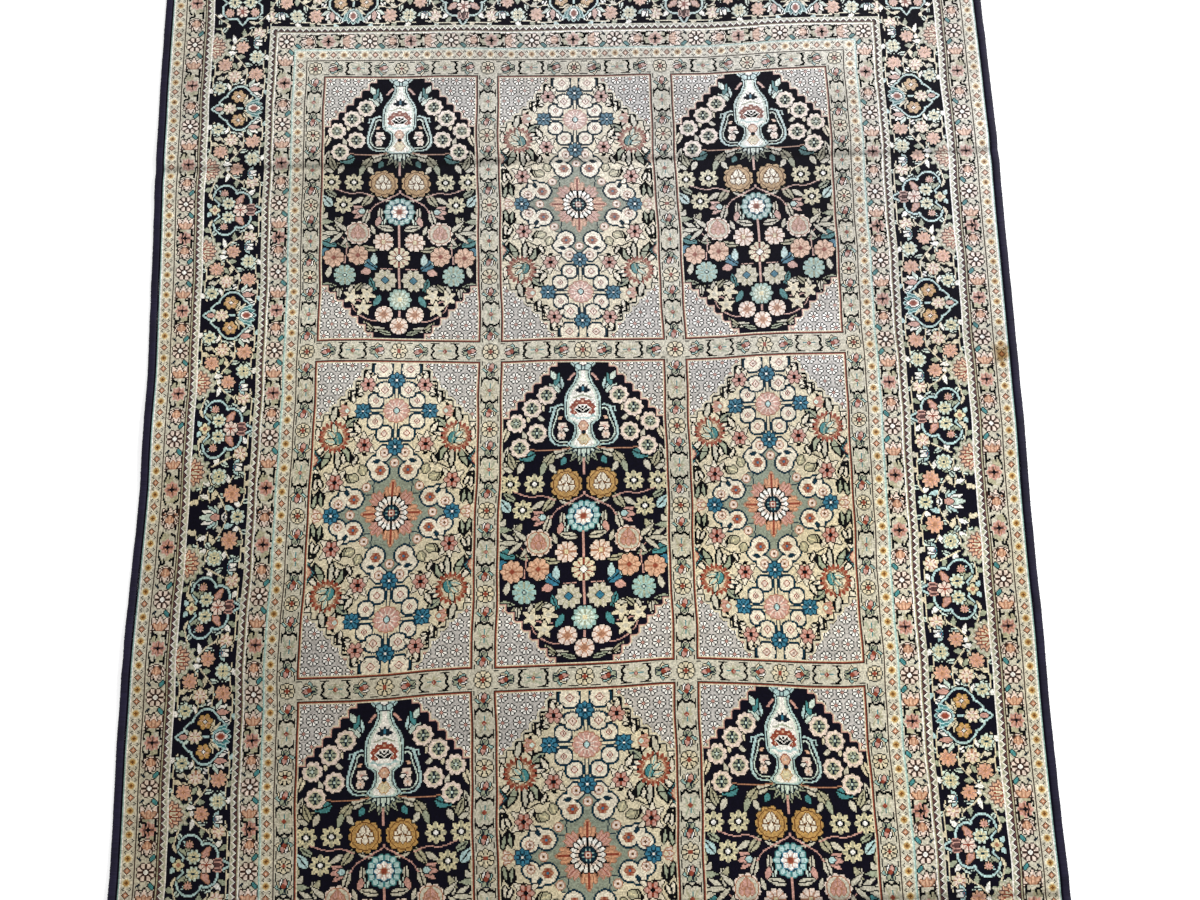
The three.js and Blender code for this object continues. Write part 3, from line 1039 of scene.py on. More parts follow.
def outward_cartouche(chart, x):
    """Gold flowers and a cream one under a turquoise fan, the point outwards."""
    cartouche(chart, x, [(11.5, 2, 10.5), (6, 11, 8), (4, -8, 8)], (-23, -6, 11))
    for side in (-1, 1):
        fan(chart, x + side * 2, 6, 14, 3, [90 - side * off for off in (75, 48, 20)], "cream", "ink")
        garden_flower(chart, x + side * 12.5, 1, 6.6, "gold", 0.3)
        leaf(chart, x + side * 2, -12, 7, 3, -90 + side * 44, "mint", None)
    garden_flower(chart, x, -7, 6.4, "cream")
    leaf(chart, x, -13, 8, 5, -90, "rose", "ink")
    fan(chart, x, 9, 15, 6, (50, 130, 70, 110, 90), "turquoise", "aqua")
    leaf(chart, x, 10, 12, 8, 90, "ivory", "slate")
    leaf(chart, x, 12, 7, 4.5, 90, "rust", "rose")


def inward_cartouche(chart, x):
    """A rust-hearted flower above two pale green ones, the point inwards."""
    cartouche(chart, x, [(15, -7, 9.2), (8.5, 7, 8.5), (0, 0, 13)], (26, 10, 9))
    for side in (-1, 1):
        fan(chart, x + side * 8, -7, 12, 3.4, [-90 + side * off for off in (30, 66)], "sage", "ink")
        leaf(chart, x + side * 20, -13, 8, 3, 90 + side * 50, "aqua", None)
        garden_flower(chart, x + side * 17, -8, 3.6, "peach")
        leaf(chart, x + side * 6, 4, 10, 4.8, 90 - side * 60, "rose", "clay")
        garden_flower(chart, x + side * 7, -4, 6.6, "mint", 0.5)
        leaf(chart, x + side * 2, -19, 7, 4, -90 + side * 44, "aqua", "ink")
    fan(chart, x, 11, 10, 4.6, (62, 118, 90), "mauve", "rose")
    garden_flower(chart, x, 7, 6.6, "rust")
    star_flower(chart, x, -16.5, 5.6, 4, "butter", "ink", "clay", 0.4, 0, None, 0.3)


print("kinds of flower:", ", ".join(FLOWER_KINDS))


# %% A leafy stem
LEAF_DYES = ("ivory", "mint", "sage", "cream", "mint", "sand", "aqua")


def vine(chart, places, size=10.0, gap=5.5):
    """A stem with leaves set along it, first to one side and then to the other."""
    count = 0
    for (x0, y0), (x1, y1) in zip(places, places[1:]):
        run = math.hypot(x1 - x0, y1 - y0)
        way = math.degrees(math.atan2(y1 - y0, x1 - x0))
        for share in np.arange(0.3, 1.0, gap / run):
            side = 1 if count % 2 else -1
            dye = LEAF_DYES[count % len(LEAF_DYES)]
            vein = "slate" if count % 3 == 1 else None
            leaf(chart, x0 + (x1 - x0) * share, y0 + (y1 - y0) * share, size - count % 3, size * 0.44,
                 way + side * 46, dye, "ink", vein, 0.14 * side, 3 if count % 2 else 0)
            count += 1
    stem(chart, places, "cream")


print("a vine's leaves, in turn:", ", ".join(LEAF_DYES))


# %% The sprays between the cartouches
SPRAY_WIDTH, MIDDLE_WIDTH = 107, 75  # from one cartouche to the next, and from the middle
SPRAY_VINES = [  # distance from the outward cartouche, and height
    [(68, -12), (57, -5), (49, 1), (40, 7), (28, 6), (20, 4)], [(62, -16), (51, -7), (41, -9), (30, -15)],
    [(66, -8), (74, -1), (80, 8), (92, 10)], [(72, -16), (82, -19), (92, -22)],
    [(60, 23), (46, 22), (30, 24), (12, 23)], [(70, 22), (84, 24), (104, 24)],
    [(14, -21), (26, -24), (40, -23), (50, -24)], [(18, -8), (26, -6)], [(96, 14), (88, 12)],
]
SPRAY_FLOWERS = [(34, -4.5, 7.2, "cream"), (46.5, -14, 7, "peach"), (35.5, 15.5, 7.4, "peach"),
                 (54, 15.5, 7.2, "mint"), (64.5, 1.5, 6.6, "peach"), (79, 16, 7, "cream"),
                 (22, -17, 6.8, "mint")]
MIDDLE_VINES = [  # distance from the middle of the side, and height
    [(40, -10), (30, -8), (21, -2), (12, 4), (2, 8)], [(36, -14), (24, -16), (10, -20)],
    [(42, -8), (47, 2), (52, 12)], [(4, 16), (16, 23), (30, 23), (42, 22)], [(44, -17), (54, -20), (64, -22)],
    [(58, 23), (72, 23)], [(12, -8), (22, -10)], [(26, 8), (34, 12)],
]
MIDDLE_FLOWERS = [(34, -0.5, 7.6, "mint"), (19.5, 12, 8, "peach"), (53.5, 17, 7, "cream")]


def half_palmette(chart, x):
    """A palmette cut by the outer side of the border."""
    fan(chart, x, -25, 16, 9, (6, 174, 34, 146, 62, 118, 90), "sand", "sage", "olive", 0, 3)
    fan(chart, x, -26, 12, 5, (14, 166, 40, 140, 66, 114, 90), "peach", "mauve")
    fan(chart, x, -27, 9, 2.6, (26, 154, 54, 126, 78, 102), "cream", "rust")


def bud(chart, x, y):
    """A blue and white bud in a green cup."""
    for off in (-56, 56, -20, 20):
        leaf(chart, x, y, 9, 4, 90 + off, "aqua" if abs(off) > 40 else "ivory", "ink")
    diamond(chart, x, y + 1, 1.8, "sky", None, "rust")


def spray_chart(width, vines, flowers, palmette_at):
    """One spray on its own piece of ground. Distances count from its left side."""
    chart = blank(width, MAIN_WIDTH, "navy")
    for places in vines:
        vine(chart, [(x - width / 2, y) for x, y in places])
    half_palmette(chart, palmette_at - width / 2)
    for i, (x, y, size, kind) in enumerate(flowers):
        garden_flower(chart, x - width / 2, y, size, kind, 0.4 * i)
    bud(chart, palmette_at + 4 - width / 2, 12)
    return chart


LONG_SPRAY = spray_chart(SPRAY_WIDTH, SPRAY_VINES, SPRAY_FLOWERS, 65)
for rise, colour in ((150, "mint"), (20, "mint"), (120, "ivory"), (55, "ivory"), (88, "rose")):
    leaf(LONG_SPRAY, 20 - SPRAY_WIDTH / 2, 10, 12, 5, rise, colour, "ink")
MIDDLE_SPRAY = spray_chart(MIDDLE_WIDTH, MIDDLE_VINES, MIDDLE_FLOWERS, 38)
print("sprays:", LONG_SPRAY.shape, "and", MIDDLE_SPRAY.shape, "knots along and across")


# %% The whole border
def lay(chart, piece, left):
    """Set a piece of ground into a run from a column on, as far as the run goes."""
    start, end = max(0, left), min(chart.shape[1], left + piece.shape[1])
    if start < end:
        chart[:, start:end] = piece[:, start - left:end - left]


def lily(chart, x):
    """An open lily with its petals towards the outer side."""
    for off, dye in ((-78, "mint"), (78, "mint"), (-50, "aqua"), (50, "aqua"), (-24, "ivory"), (24, "ivory"),
                     (0, "mint")):
        leaf(chart, x, -1, 17 - abs(off) / 12, 5.6, 270 + off, dye, "ink")
    leaf(chart, x, 2, 9, 6, 270, "rose", "ink")


LONG_SIDE_CARTOUCHES = [MIDDLE_WIDTH + i * SPRAY_WIDTH for i in range(4)]  # inward, outward and so on
SHORT_SIDE_STEP = 106.5  # a third of the way from the middle of a short side to its corner


def both_ways(places):
    return [side * x for x in places for side in (1, -1)]


def main_border(length):
    """The whole run. Outward and inward cartouches take turns away from its middle."""
    chart = blank(length, MAIN_WIDTH, "navy")
    long_side = length > LONG_SIDE
    if long_side:
        inward, outward = both_ways(LONG_SIDE_CARTOUCHES[::2]), both_ways(LONG_SIDE_CARTOUCHES[1::2])
    else:
        inward, outward = both_ways([SHORT_SIDE_STEP]), [0] + both_ways([2 * SHORT_SIDE_STEP])
    for x in outward:
        foot = int(x + length / 2)
        lay(chart, LONG_SPRAY, foot)
        lay(chart, LONG_SPRAY[:, ::-1], foot - SPRAY_WIDTH)
    if long_side:
        lay(chart, MIDDLE_SPRAY, length // 2)
        lay(chart, MIDDLE_SPRAY[:, ::-1], length // 2 - MIDDLE_WIDTH)
        lily(chart, 0)
        garden_flower(chart, 0, 18, 6.8, "mint")
    for x in inward:
        inward_cartouche(chart, x)
    for x in outward:
        outward_cartouche(chart, x)
    return chart


def main_corner():
    """The corner cartouche, square to the sides that meet there."""
    chart = blank(MAIN_WIDTH, MAIN_WIDTH, "navy")
    for up in (-1, 1):
        for side in (-1, 1):
            vine(chart, [(side * 26, up * 12), (side * 20, up * 18), (side * 12, up * 24)], 8, 5)
    cartouche(chart, 0, [(9, -8, 9), (9, 8, 9), (0, 0, 14)], (24, 10, 9))
    for side in (-1, 1):
        for up in (-1, 1):
            garden_flower(chart, side * 12, up * 11, 4.6, "peach")
        garden_flower(chart, side * 7.5, 0, 6.6, "mint")
        leaf(chart, side * 4, -14, 9, 3.4, -90 + side * 40, "mint", "ink")
    garden_flower(chart, 0, -9, 6, "cream")
    garden_flower(chart, 0, 10, 6.4, "rust")
    return chart


MAIN_CORNER = main_corner()
print("corner cartouche:", MAIN_CORNER.shape, "knots")


# %% The whole rug, from the edge inwards
def inner_zigzag(length):
    return zigzag_guard(length, inwards=False)


BORDERS = {  # width, run and corner
    "guard": (GUARD_WIDTH, diamond_guard, GUARD_CORNER),
    "minor": (MINOR_WIDTH, minor_border, MINOR_CORNER),
    "zigzag": (ZIGZAG_WIDTH, zigzag_guard, mitred(zigzag_guard(ZIGZAG_SAMPLE))),
    "main": (MAIN_WIDTH, main_border, MAIN_CORNER),
    "inner zigzag": (ZIGZAG_WIDTH, inner_zigzag, mitred(inner_zigzag(ZIGZAG_SAMPLE))),
}
LAYERS = (  # a border, or the dye of a plain line one knot wide
    "navy", "celadon", "ivory", "guard", "brown", "sand", "minor", "brown", "zigzag", "ivory",
    "main", "inner zigzag", "ivory", "minor", "celadon", "mint", "guard", "brown",
)


def plain_line(dye):
    """A border one knot wide in one dye."""
    return 1, lambda length: blank(length, 1, dye), blank(1, 1, dye)


FRAME_DEPTH = 0  # where the borders end and the frame of the panels begins
for layer in LAYERS:
    if layer == "main":
        MAIN_DEPTH = FRAME_DEPTH
    WIDTH, RUN, CORNER = BORDERS[layer] if layer in BORDERS else plain_line(layer)
    ring(FRAME_DEPTH, WIDTH, RUN, CORNER)
    FRAME_DEPTH += WIDTH
place(RUG, FIELD, 0, 0)
print("rug chart:", RUG.shape, "knots,", len(np.unique(RUG)), "dyes used; borders:", FRAME_DEPTH, "knots")

# %% [markdown]
# ## How the rug lies
#
# A silk rug is thin, and it keeps the marks of the way it was folded. It rises
# a few millimetres in soft swells across its width, with a narrow pressed line
# on two of them. A cloth simulation would add folds of its own, so these few are
# listed, in millimetres, as sums of smooth bells. The upper pressed line
# shows on the real rug. The lower one is a guess, made because a rug that is
# folded in three has both, and all of the heights are guesses too.
#
# The design strays as well. Warps drift as the work goes on and one row is beaten
# down harder than the next, so no line of a hand-knotted rug is truly straight.
# The strays were measured on the real rug's lines, where they show, and rounded
# to whole millimetres. They are listed at a few places and eased between them.

# %% The sides, the swells and the strays, in millimetres
RUG_WIDTH, KNOTTED_LENGTH = 1220, 1780
HALF_LENGTH, HALF_OVERALL = 890, 902  # to the end of the pile, and of the flat-woven end
EDGE_WIDTH, EDGE_THICKNESS, SEAT_GAP = 11, 5, 0.3
PILE_TOP, FLAT_THICKNESS = 5, 1.6
HALF_BODY = RUG_WIDTH / 2 - EDGE_WIDTH - SEAT_GAP
BORDER_INSIDE = 372  # from the middle to the inner side of the borders, in millimetres

SIDE_WANDER = np.array([  # along the rug, outward stray of the left and the right side
    (-902, 1, 1), (-700, 0, 0), (-470, -2, -2), (-300, 1, -3), (-130, -1, -2),
    (40, -7, -1), (200, -7, 2), (430, -1, 3), (650, 3, 3), (902, 2, -2),
], float)
SWELLS = [  # middle at the left side, at the right side, height, spread
    (512, 524, 4.2, 62), (512, 524, -2.6, 12), (118, 96, 4.6, 60),
    (-196, -178, 3.6, 56), (-520, -508, 4.0, 62), (-520, -508, -2.2, 12),
]
LIES_FLAT_BELOW = 0.05
STRAY_ACROSS = (-HALF_BODY, -BORDER_INSIDE, -130, 130, BORDER_INSIDE, HALF_BODY)
STRAY_ALONG = (-HALF_LENGTH, -655, -226, 226, 655, HALF_LENGTH)
STRAYS_X = np.array([  # one row for each place across, from foot to head
    (0, 0, -7, 3, 0, 0), (0, 0, -6, 3, -2, 0), (0, 0, 3, 3, -4, 0), (0, 0, -6, -2, 0, 0),
], float)
STRAYS_Y = np.array([
    (0, 0, -12, 7, -3, 0), (0, 0, -12, 7, -3, 0), (0, 0, -2, 2, -6, 0),
    (0, 0, 5, 1, -8, 0), (0, 0, -4, 7, 1, 0), (0, 0, -4, 7, 1, 0),
], float)
FADES_OVER = 60  # the fine waver dies away this near to an end or a side
print("body:", 2 * HALF_BODY, "by", KNOTTED_LENGTH, "mm;", len(SWELLS), "bells lift or press it")


# %% Where a place on the loom comes to lie
def wander(side, along):
    return np.interp(along, SIDE_WANDER[:, 0], SIDE_WANDER[:, 1 if side == "left" else 2])


def lift(across, along):
    """How far the underside is above the floor."""
    share = (across + RUG_WIDTH / 2) / RUG_WIDTH
    height = 0
    for at_left, at_right, rise, spread in SWELLS:
        middle = at_left + (at_right - at_left) * share
        height = height + rise * np.exp(-((along - middle) / spread) ** 2)
    return np.maximum(0, height - LIES_FLAT_BELOW)


def eased_share(places, stops):
    """Which two stops each place is between, and how far along, slow at both ends."""
    share = np.interp(places, stops, np.arange(len(stops)))
    before = np.minimum(share.astype(int), len(stops) - 2)
    part = share - before
    return before, part * part * (3 - 2 * part)


def eased_table(rows, across, along):
    """A value for each place from a table of rows, one row for each place across."""
    column, part = eased_share(along, STRAY_ALONG)
    values = [row[column] * (1 - part) + row[column + 1] * part for row in rows]
    before, part = eased_share(across, STRAY_ACROSS)
    pick = np.arange(len(across))
    values = np.array(values)
    return values[before, pick] * (1 - part) + values[before + 1, pick] * part


def lie(across, along):
    """Turn places on the stretched loom into places on the floor."""
    inner = eased_table(np.vstack([0 * STRAYS_X[:1], STRAYS_X, 0 * STRAYS_X[:1]]), across, along)
    near_left = np.interp(across, (-HALF_BODY, -BORDER_INSIDE), (1, 0))
    near_right = np.interp(across, (BORDER_INSIDE, HALF_BODY), (0, 1))
    inner = inner - near_left ** 2 * wander("left", along) + near_right ** 2 * wander("right", along)
    free = np.clip((HALF_BODY - np.abs(across)) / FADES_OVER, 0, 1)
    inner += free * (0.7 * np.sin(along / 31 + across / 170) + 0.4 * np.sin(along / 13 + across / 90))
    onward = eased_table(STRAYS_Y, across, along)
    free = np.clip((HALF_LENGTH - np.abs(along)) / FADES_OVER, 0, 1)
    onward += free * (0.9 * np.sin(across / 43 + along / 120) + 0.5 * np.sin(across / 24 - along / 70))
    return across + inner, along + onward


print("the middle of the loom moves to", lie(np.zeros(1), np.zeros(1)), "mm")

# %% [markdown]
# ## From chart to pile
#
# The pile could be one flat sheet with the chart painted on it. Here it is cut
# from the chart itself: neighbouring knots of one dye are joined into an oblong
# patch, and each patch is a face that carries its own dye. The steps of the
# drawing are then real edges, sharp from any distance.
#
# Patches may be any size, so their corners do not always meet. To leave no
# cracks, the cloth is bent only along set rows and columns, the fold lines of a
# fine net, and no patch crosses one. Between them it is straight, and every
# corner lies exactly on its neighbour's side.

# %% The net that bends
NET_STEP, FINE_STEP, COLUMN_STEP = 8, 2, 32  # knots from one row or column of the net to the next
FINE_REACH = 28  # the rows are fine this near to a pressed line, in mm


def net_rows():
    """Every eighth row, and every second one near a pressed fold line."""
    rows = set(range(0, RUG_ALONG, NET_STEP)) | {RUG_ALONG}
    for at_left, at_right, rise, _ in SWELLS:
        if rise < 0:
            middle = (at_left + at_right) / 2
            for row in range(0, RUG_ALONG, FINE_STEP):
                if abs(row / RUG_ALONG * KNOTTED_LENGTH - HALF_LENGTH - middle) < FINE_REACH:
                    rows.add(row)
    return np.array(sorted(rows))


NET_ROWS = net_rows()
NET_COLUMNS = np.append(np.arange(0, RUG_ACROSS, COLUMN_STEP), RUG_ACROSS)
KNOT_ACROSS = 2 * HALF_BODY / RUG_ACROSS
KNOT_ALONG = KNOTTED_LENGTH / RUG_ALONG


def net_points():
    """Where the crossings of the net come to lie, at the top of the pile."""
    across, along = np.meshgrid(NET_COLUMNS * KNOT_ACROSS - HALF_BODY, NET_ROWS * KNOT_ALONG - HALF_LENGTH)
    x, y = lie(across.ravel(), along.ravel())
    return (np.stack([x, y, lift(x, y) + PILE_TOP], 1) * MM).reshape(*across.shape, 3)


NET = net_points()


def on_net(column, row):
    """Places on the net, straight between its rows and columns."""
    i = np.clip(np.searchsorted(NET_ROWS, row, "right") - 1, 0, len(NET_ROWS) - 2)
    j = np.clip(np.searchsorted(NET_COLUMNS, column, "right") - 1, 0, len(NET_COLUMNS) - 2)
    up = ((row - NET_ROWS[i]) / (NET_ROWS[i + 1] - NET_ROWS[i]))[:, None]
    right = ((column - NET_COLUMNS[j]) / (NET_COLUMNS[j + 1] - NET_COLUMNS[j]))[:, None]
    foot = NET[i, j] * (1 - right) + NET[i, j + 1] * right
    head = NET[i + 1, j] * (1 - right) + NET[i + 1, j + 1] * right
    return foot * (1 - up) + head * up


print("knot:", round(KNOT_ACROSS, 3), "x", round(KNOT_ALONG, 3), "mm, net:", NET.shape[:2])


# %% Joining knots into patches
def patches(left, foot, width, height):
    """Oblong patches of one dye: left, right, foot and head knot, and the dye number."""
    net_rows, open_runs, done = set(NET_ROWS.tolist()), {}, []
    cuts = NET_COLUMNS[(NET_COLUMNS > left) & (NET_COLUMNS < left + width)] - left
    for row in range(foot, foot + height):
        line = RUG[row, left:left + width]
        turns = np.union1d(np.flatnonzero(np.diff(line)) + 1, cuts).tolist()
        if row in net_rows:
            open_runs = {}
        still_open = {}
        for start, stop in zip([0] + turns, turns + [width]):
            run = (start, stop, int(line[start]))
            patch = open_runs.get(run)
            if patch is None:
                patch = [left + start, left + stop, row, row, run[2]]
                done.append(patch)
            patch[3] = row + 1
            still_open[run] = patch
        open_runs = still_open
    return np.array(done)


print("the first ten rows hold", len(patches(0, 0, RUG_ACROSS, 10)), "patches")

# %% [markdown]
# ## Laying out a piece of pile
#
# Each piece also needs a flat layout, so that its look can be kept as a picture
# in an exported file. A border unrolled as it is would waste nearly the whole
# square, so it is cut into short strips that are stacked side by side.

# %% Strips of a piece, stacked in a square
def strips(regions, longest):
    """Cut regions into strips: left, foot, width, height, and whether it stands upright."""
    cut = []
    for left, foot, width, height in regions:
        if height > width:
            cut += [(left, start, width, min(longest, foot + height - start), True)
                    for start in range(foot, foot + height, longest)]
        else:
            cut += [(start, foot, min(longest, left + width - start), height, False)
                    for start in range(left, left + width, longest)]
    return cut


def strip_layout(cut):
    """Where each strip goes in the unit square, as a place and one common scale."""
    wide = max(min(w, h) if not up else w for _, _, w, h, up in cut) + 1
    long = max(h if up else w for _, _, w, h, up in cut) + 1
    fits = [(max(n * wide, math.ceil(len(cut) / n) * long), n) for n in range(1, len(cut) + 1)]
    side, beside = min(fits)
    return [((i % beside) * wide / side, (i // beside) * long / side) for i in range(len(cut))], side


print("a long side makes", len(strips([(0, 0, GUARD_WIDTH, RUG_ALONG)], 230)), "strips of 230 knots")


# %% A mesh with its own dyes
LAYOUT = "OFBake"  # the name of the flat layout


def linear(hex_colour):
    """A screen colour as the light it stands for."""
    parts = [int(hex_colour[i:i + 2], 16) / 255 for i in (1, 3, 5)]
    return [p / 12.92 if p <= 0.04045 else ((p + 0.055) / 1.055) ** 2.4 for p in parts]


DYE_LIGHT = np.array([linear(colour) + [1.0] for colour in DYES.values()])


def new_piece(name, corners, faces, smooth=True):
    """Make an object from corners in metres and faces."""
    mesh = bpy.data.meshes.new(name)
    mesh.from_pydata(corners, [], [list(face) for face in faces])
    mesh.polygons.foreach_set("use_smooth", [smooth] * len(mesh.polygons))
    piece = bpy.data.objects.new(name, mesh)
    bpy.context.collection.objects.link(piece)
    return piece


def lay_out(piece, places):
    """Give every corner of every face its place in the flat layout."""
    layer = piece.data.uv_layers.new(name=LAYOUT)
    layer.data.foreach_set("uv", np.vstack(places).astype(np.float32).ravel())


def carry(piece, loom, dyes):
    """Give every corner its place on the loom, in knots, and every face its dye."""
    place = piece.data.attributes.new("loom", "FLOAT_VECTOR", "POINT")
    place.data.foreach_set("vector", np.array(loom, np.float32).ravel())
    dye = piece.data.attributes.new("dye", "FLOAT_COLOR", "FACE")
    dye.data.foreach_set("color", DYE_LIGHT[dyes].astype(np.float32).ravel())


def pile_piece(name, regions, longest):
    """One piece of pile: a face for each patch, its dye, its place on the loom and its layout."""
    cut = strips(regions, longest)
    places, side = strip_layout(cut)
    found, layout = [], []
    for (left, foot, width, height, upright), place in zip(cut, places):
        own = patches(left, foot, width, height)
        column, row = own[:, [0, 1, 1, 0]] - left, own[:, [2, 2, 3, 3]] - foot
        flat = (column, row) if upright else (row, column)
        layout.append(np.stack(flat, -1) / side + place)
        found.append(own)
    own = np.vstack(found)
    column, row = own[:, [0, 1, 1, 0]], own[:, [2, 2, 3, 3]]
    corners, which = np.unique(row * (RUG_ACROSS + 1) + column, return_inverse=True)
    row, column = np.divmod(corners, RUG_ACROSS + 1)
    piece = new_piece(name, on_net(column, row), which.reshape(-1, 4).tolist())
    carry(piece, np.stack([column, row, 0 * row], 1), own[:, 4])
    lay_out(piece, layout)
    print(name, len(own), "patches")
    return piece


def ring_regions(depth, width):
    """The four sides of a ring so many knots in from the edge."""
    inner = RUG_ACROSS - 2 * (depth + width)
    far_x, far_y = RUG_ACROSS - depth - width, RUG_ALONG - depth - width
    tall = RUG_ALONG - 2 * depth
    return [(depth, depth, width, tall), (far_x, depth, width, tall),
            (depth + width, depth, inner, width), (depth + width, far_y, inner, width)]


# %% The pieces of pile
FIRST_PANEL = FRAME_DEPTH + FRAME_WIDTH


PANEL_LEFTS = [FIRST_PANEL + i * PITCH[0] for i in range(3)]
PANEL_FEET = [FIRST_PANEL + i * PITCH[1] for i in range(3)]


def panel_regions(dark):
    """Dark and light panels take turns, from a dark one in each corner."""
    return [(left, foot, PANEL_ACROSS, PANEL_ALONG) for i, left in enumerate(PANEL_LEFTS)
            for j, foot in enumerate(PANEL_FEET) if ((i + j) % 2 == 0) == dark]


def lattice_regions():
    """The frame round all the panels, the bands along the rug and the short bands between."""
    tall = RUG_ALONG - 2 * FIRST_PANEL
    upright = [(left + PANEL_ACROSS, FIRST_PANEL, LATTICE_WIDTH, tall) for left in PANEL_LEFTS[:2]]
    level = [(left, foot + PANEL_ALONG, PANEL_ACROSS, LATTICE_WIDTH)
             for left in PANEL_LEFTS for foot in PANEL_FEET[:2]]
    return ring_regions(FRAME_DEPTH, FRAME_WIDTH) + upright + level


MAIN_END = MAIN_DEPTH + MAIN_WIDTH
PILE = [  # name, regions and longest strip
    pile_piece("pile_outer_borders", ring_regions(0, MAIN_DEPTH), 230),
    pile_piece("pile_main_border", ring_regions(MAIN_DEPTH, MAIN_WIDTH), 214),
    pile_piece("pile_inner_borders", ring_regions(MAIN_END, FRAME_DEPTH - MAIN_END), 193),
    pile_piece("pile_lattice", lattice_regions(), PANEL_ACROSS),
    pile_piece("pile_dark_panels", panel_regions(True), PANEL_ALONG),
    pile_piece("pile_light_panels", panel_regions(False), PANEL_ALONG),
]
print("pile:", sum(len(piece.data.polygons) for piece in PILE), "faces")

# %% [markdown]
# ## The cut sides of the pile, and the foundation
#
# Below the pile is the foundation, the warp and weft that the knots are tied on.
# It shows only at the two ends, where it is woven on without pile for about a
# centimetre. A thin closed slab under the whole rug is enough, and its ends have
# a real ridge for each weft. The pile stands up from it, so a low wall of dark
# pile closes the step all round.

# %% The wall round the pile
WALL_DEPTH = 3  # in knots, so that the look runs on down the side


def round_trip(rows, columns):
    """The crossings round the rim of a grid, once round from its first corner."""
    top, right = rows - 1, columns - 1
    return ([(0, j) for j in range(right)] + [(i, right) for i in range(top)]
            + [(top, j) for j in range(right, 0, -1)] + [(i, 0) for i in range(top, 0, -1)])


def pile_wall():
    """The side of the pile from its top down to the foundation."""
    rim = round_trip(len(NET_ROWS), len(NET_COLUMNS))
    top = np.array([NET[i, j] for i, j in rim])
    low = top - [0, 0, (PILE_TOP - FLAT_THICKNESS) * MM]
    count = len(top)
    faces = [(i, i + count, (i + 1) % count + count, (i + 1) % count) for i in range(count)]
    wall = new_piece("pile_wall", np.vstack([top, low]), faces, smooth=False)
    loom = [(NET_COLUMNS[j], NET_ROWS[i], z) for z in (0, -WALL_DEPTH) for i, j in rim]
    carry(wall, loom, [NUMBER["navy"]] * count)
    return wall


PILE.append(pile_wall())
print("wall:", len(PILE[-1].data.polygons), "faces")

# %% The foundation
WEFT_PITCH = 1.2  # millimetres from one thick weft of the end to the next
WEFT_RISE = 0.22
UNDER_PILE = 2  # how far the ridges go on under the pile
SLAB_STEP, SLAB_COLUMNS = 20, 49  # millimetres between its rows of corners, and corners in a row


def grid_faces(rows, columns, start=0, flip=False):
    """Faces that join a grid of corners."""
    i, j = np.meshgrid(np.arange(rows - 1), np.arange(columns - 1), indexing="ij")
    a = (i * columns + j + start).ravel()
    faces = np.stack([a, a + 1, a + columns + 1, a + columns], 1)
    return faces[:, ::-1] if flip else faces


def foundation():
    """A closed slab: a top and an underside that share no corners, and a rim."""
    ends = np.arange(HALF_OVERALL, HALF_LENGTH - UNDER_PILE, -WEFT_PITCH / 4)
    last = HALF_LENGTH - SLAB_STEP
    along = np.concatenate([-ends, np.arange(-last, last + 1, SLAB_STEP), ends[::-1]])
    across, along = np.meshgrid(np.linspace(-HALF_BODY, HALF_BODY, SLAB_COLUMNS), along)
    rows, columns = along.shape
    along = along.ravel()
    knotted = np.clip(along, -HALF_LENGTH, HALF_LENGTH)
    x, y = lie(across.ravel(), knotted)
    y += along - knotted
    low = lift(x, y)
    ridge = WEFT_RISE * np.abs(np.sin(np.pi * along / WEFT_PITCH))
    high = low + FLAT_THICKNESS - ridge * (np.abs(along) > HALF_LENGTH - UNDER_PILE)
    count = rows * columns
    corners = np.vstack([np.stack([x, y, high], 1), np.stack([x, y, low], 1)]) * MM
    rim = np.array([i * columns + j for i, j in round_trip(rows, columns)])
    after = np.roll(rim, -1)
    sides = np.stack([rim, rim + count, after + count, after], 1)
    faces = np.vstack([grid_faces(rows, columns), grid_faces(rows, columns, count, flip=True), sides])
    return new_piece("foundation", corners, faces, smooth=False)


FOUNDATION = foundation()
print("foundation:", len(FOUNDATION.data.polygons), "faces")

# %% [markdown]
# ## The edge cords
#
# Each long side is finished by overcasting: dark silk is wound round and round
# the outermost warps until they are a flat cord. Lines in a bump map could hint
# at the winding, but its outline shows against the floor, so every turn is a
# real ridge. A few longer waves make the cord as uneven as handwork is.

# %% Winding a cord
TURN_PITCH = 1.8  # millimetres from one turn of silk to the next
CORD_AROUND, LANES = 14, 24  # corners round the cord, and lanes in its flat layout
GROOVE = 0.08  # how far the groove between two turns is cut in
BUNDLE = 24  # millimetres from one thick or thin place to the next


def tube_layout(count, around):
    """Unroll a long tube and fold it into lanes, so that it fills a square."""
    rings, steps = np.divmod(np.arange((count - 1) * around), around)
    per_lane = math.ceil((count - 1) / LANES)
    lane, place = np.divmod(rings, per_lane)
    across = (lane[:, None] + (steps[:, None] + [0, 1, 1, 0]) / around * 0.96) / LANES
    onward = (place[:, None] + np.array([0, 0, 1, 1])) / per_lane * 0.97
    circle = np.linspace(0, 2 * np.pi, around, endpoint=False)
    caps = [np.stack([middle + 0.01 * np.cos(circle), 0.985 + 0.01 * np.sin(circle)], 1)
            for middle in (0.2, 0.6)]
    return [np.stack([across, onward], -1).reshape(-1, 2)] + caps


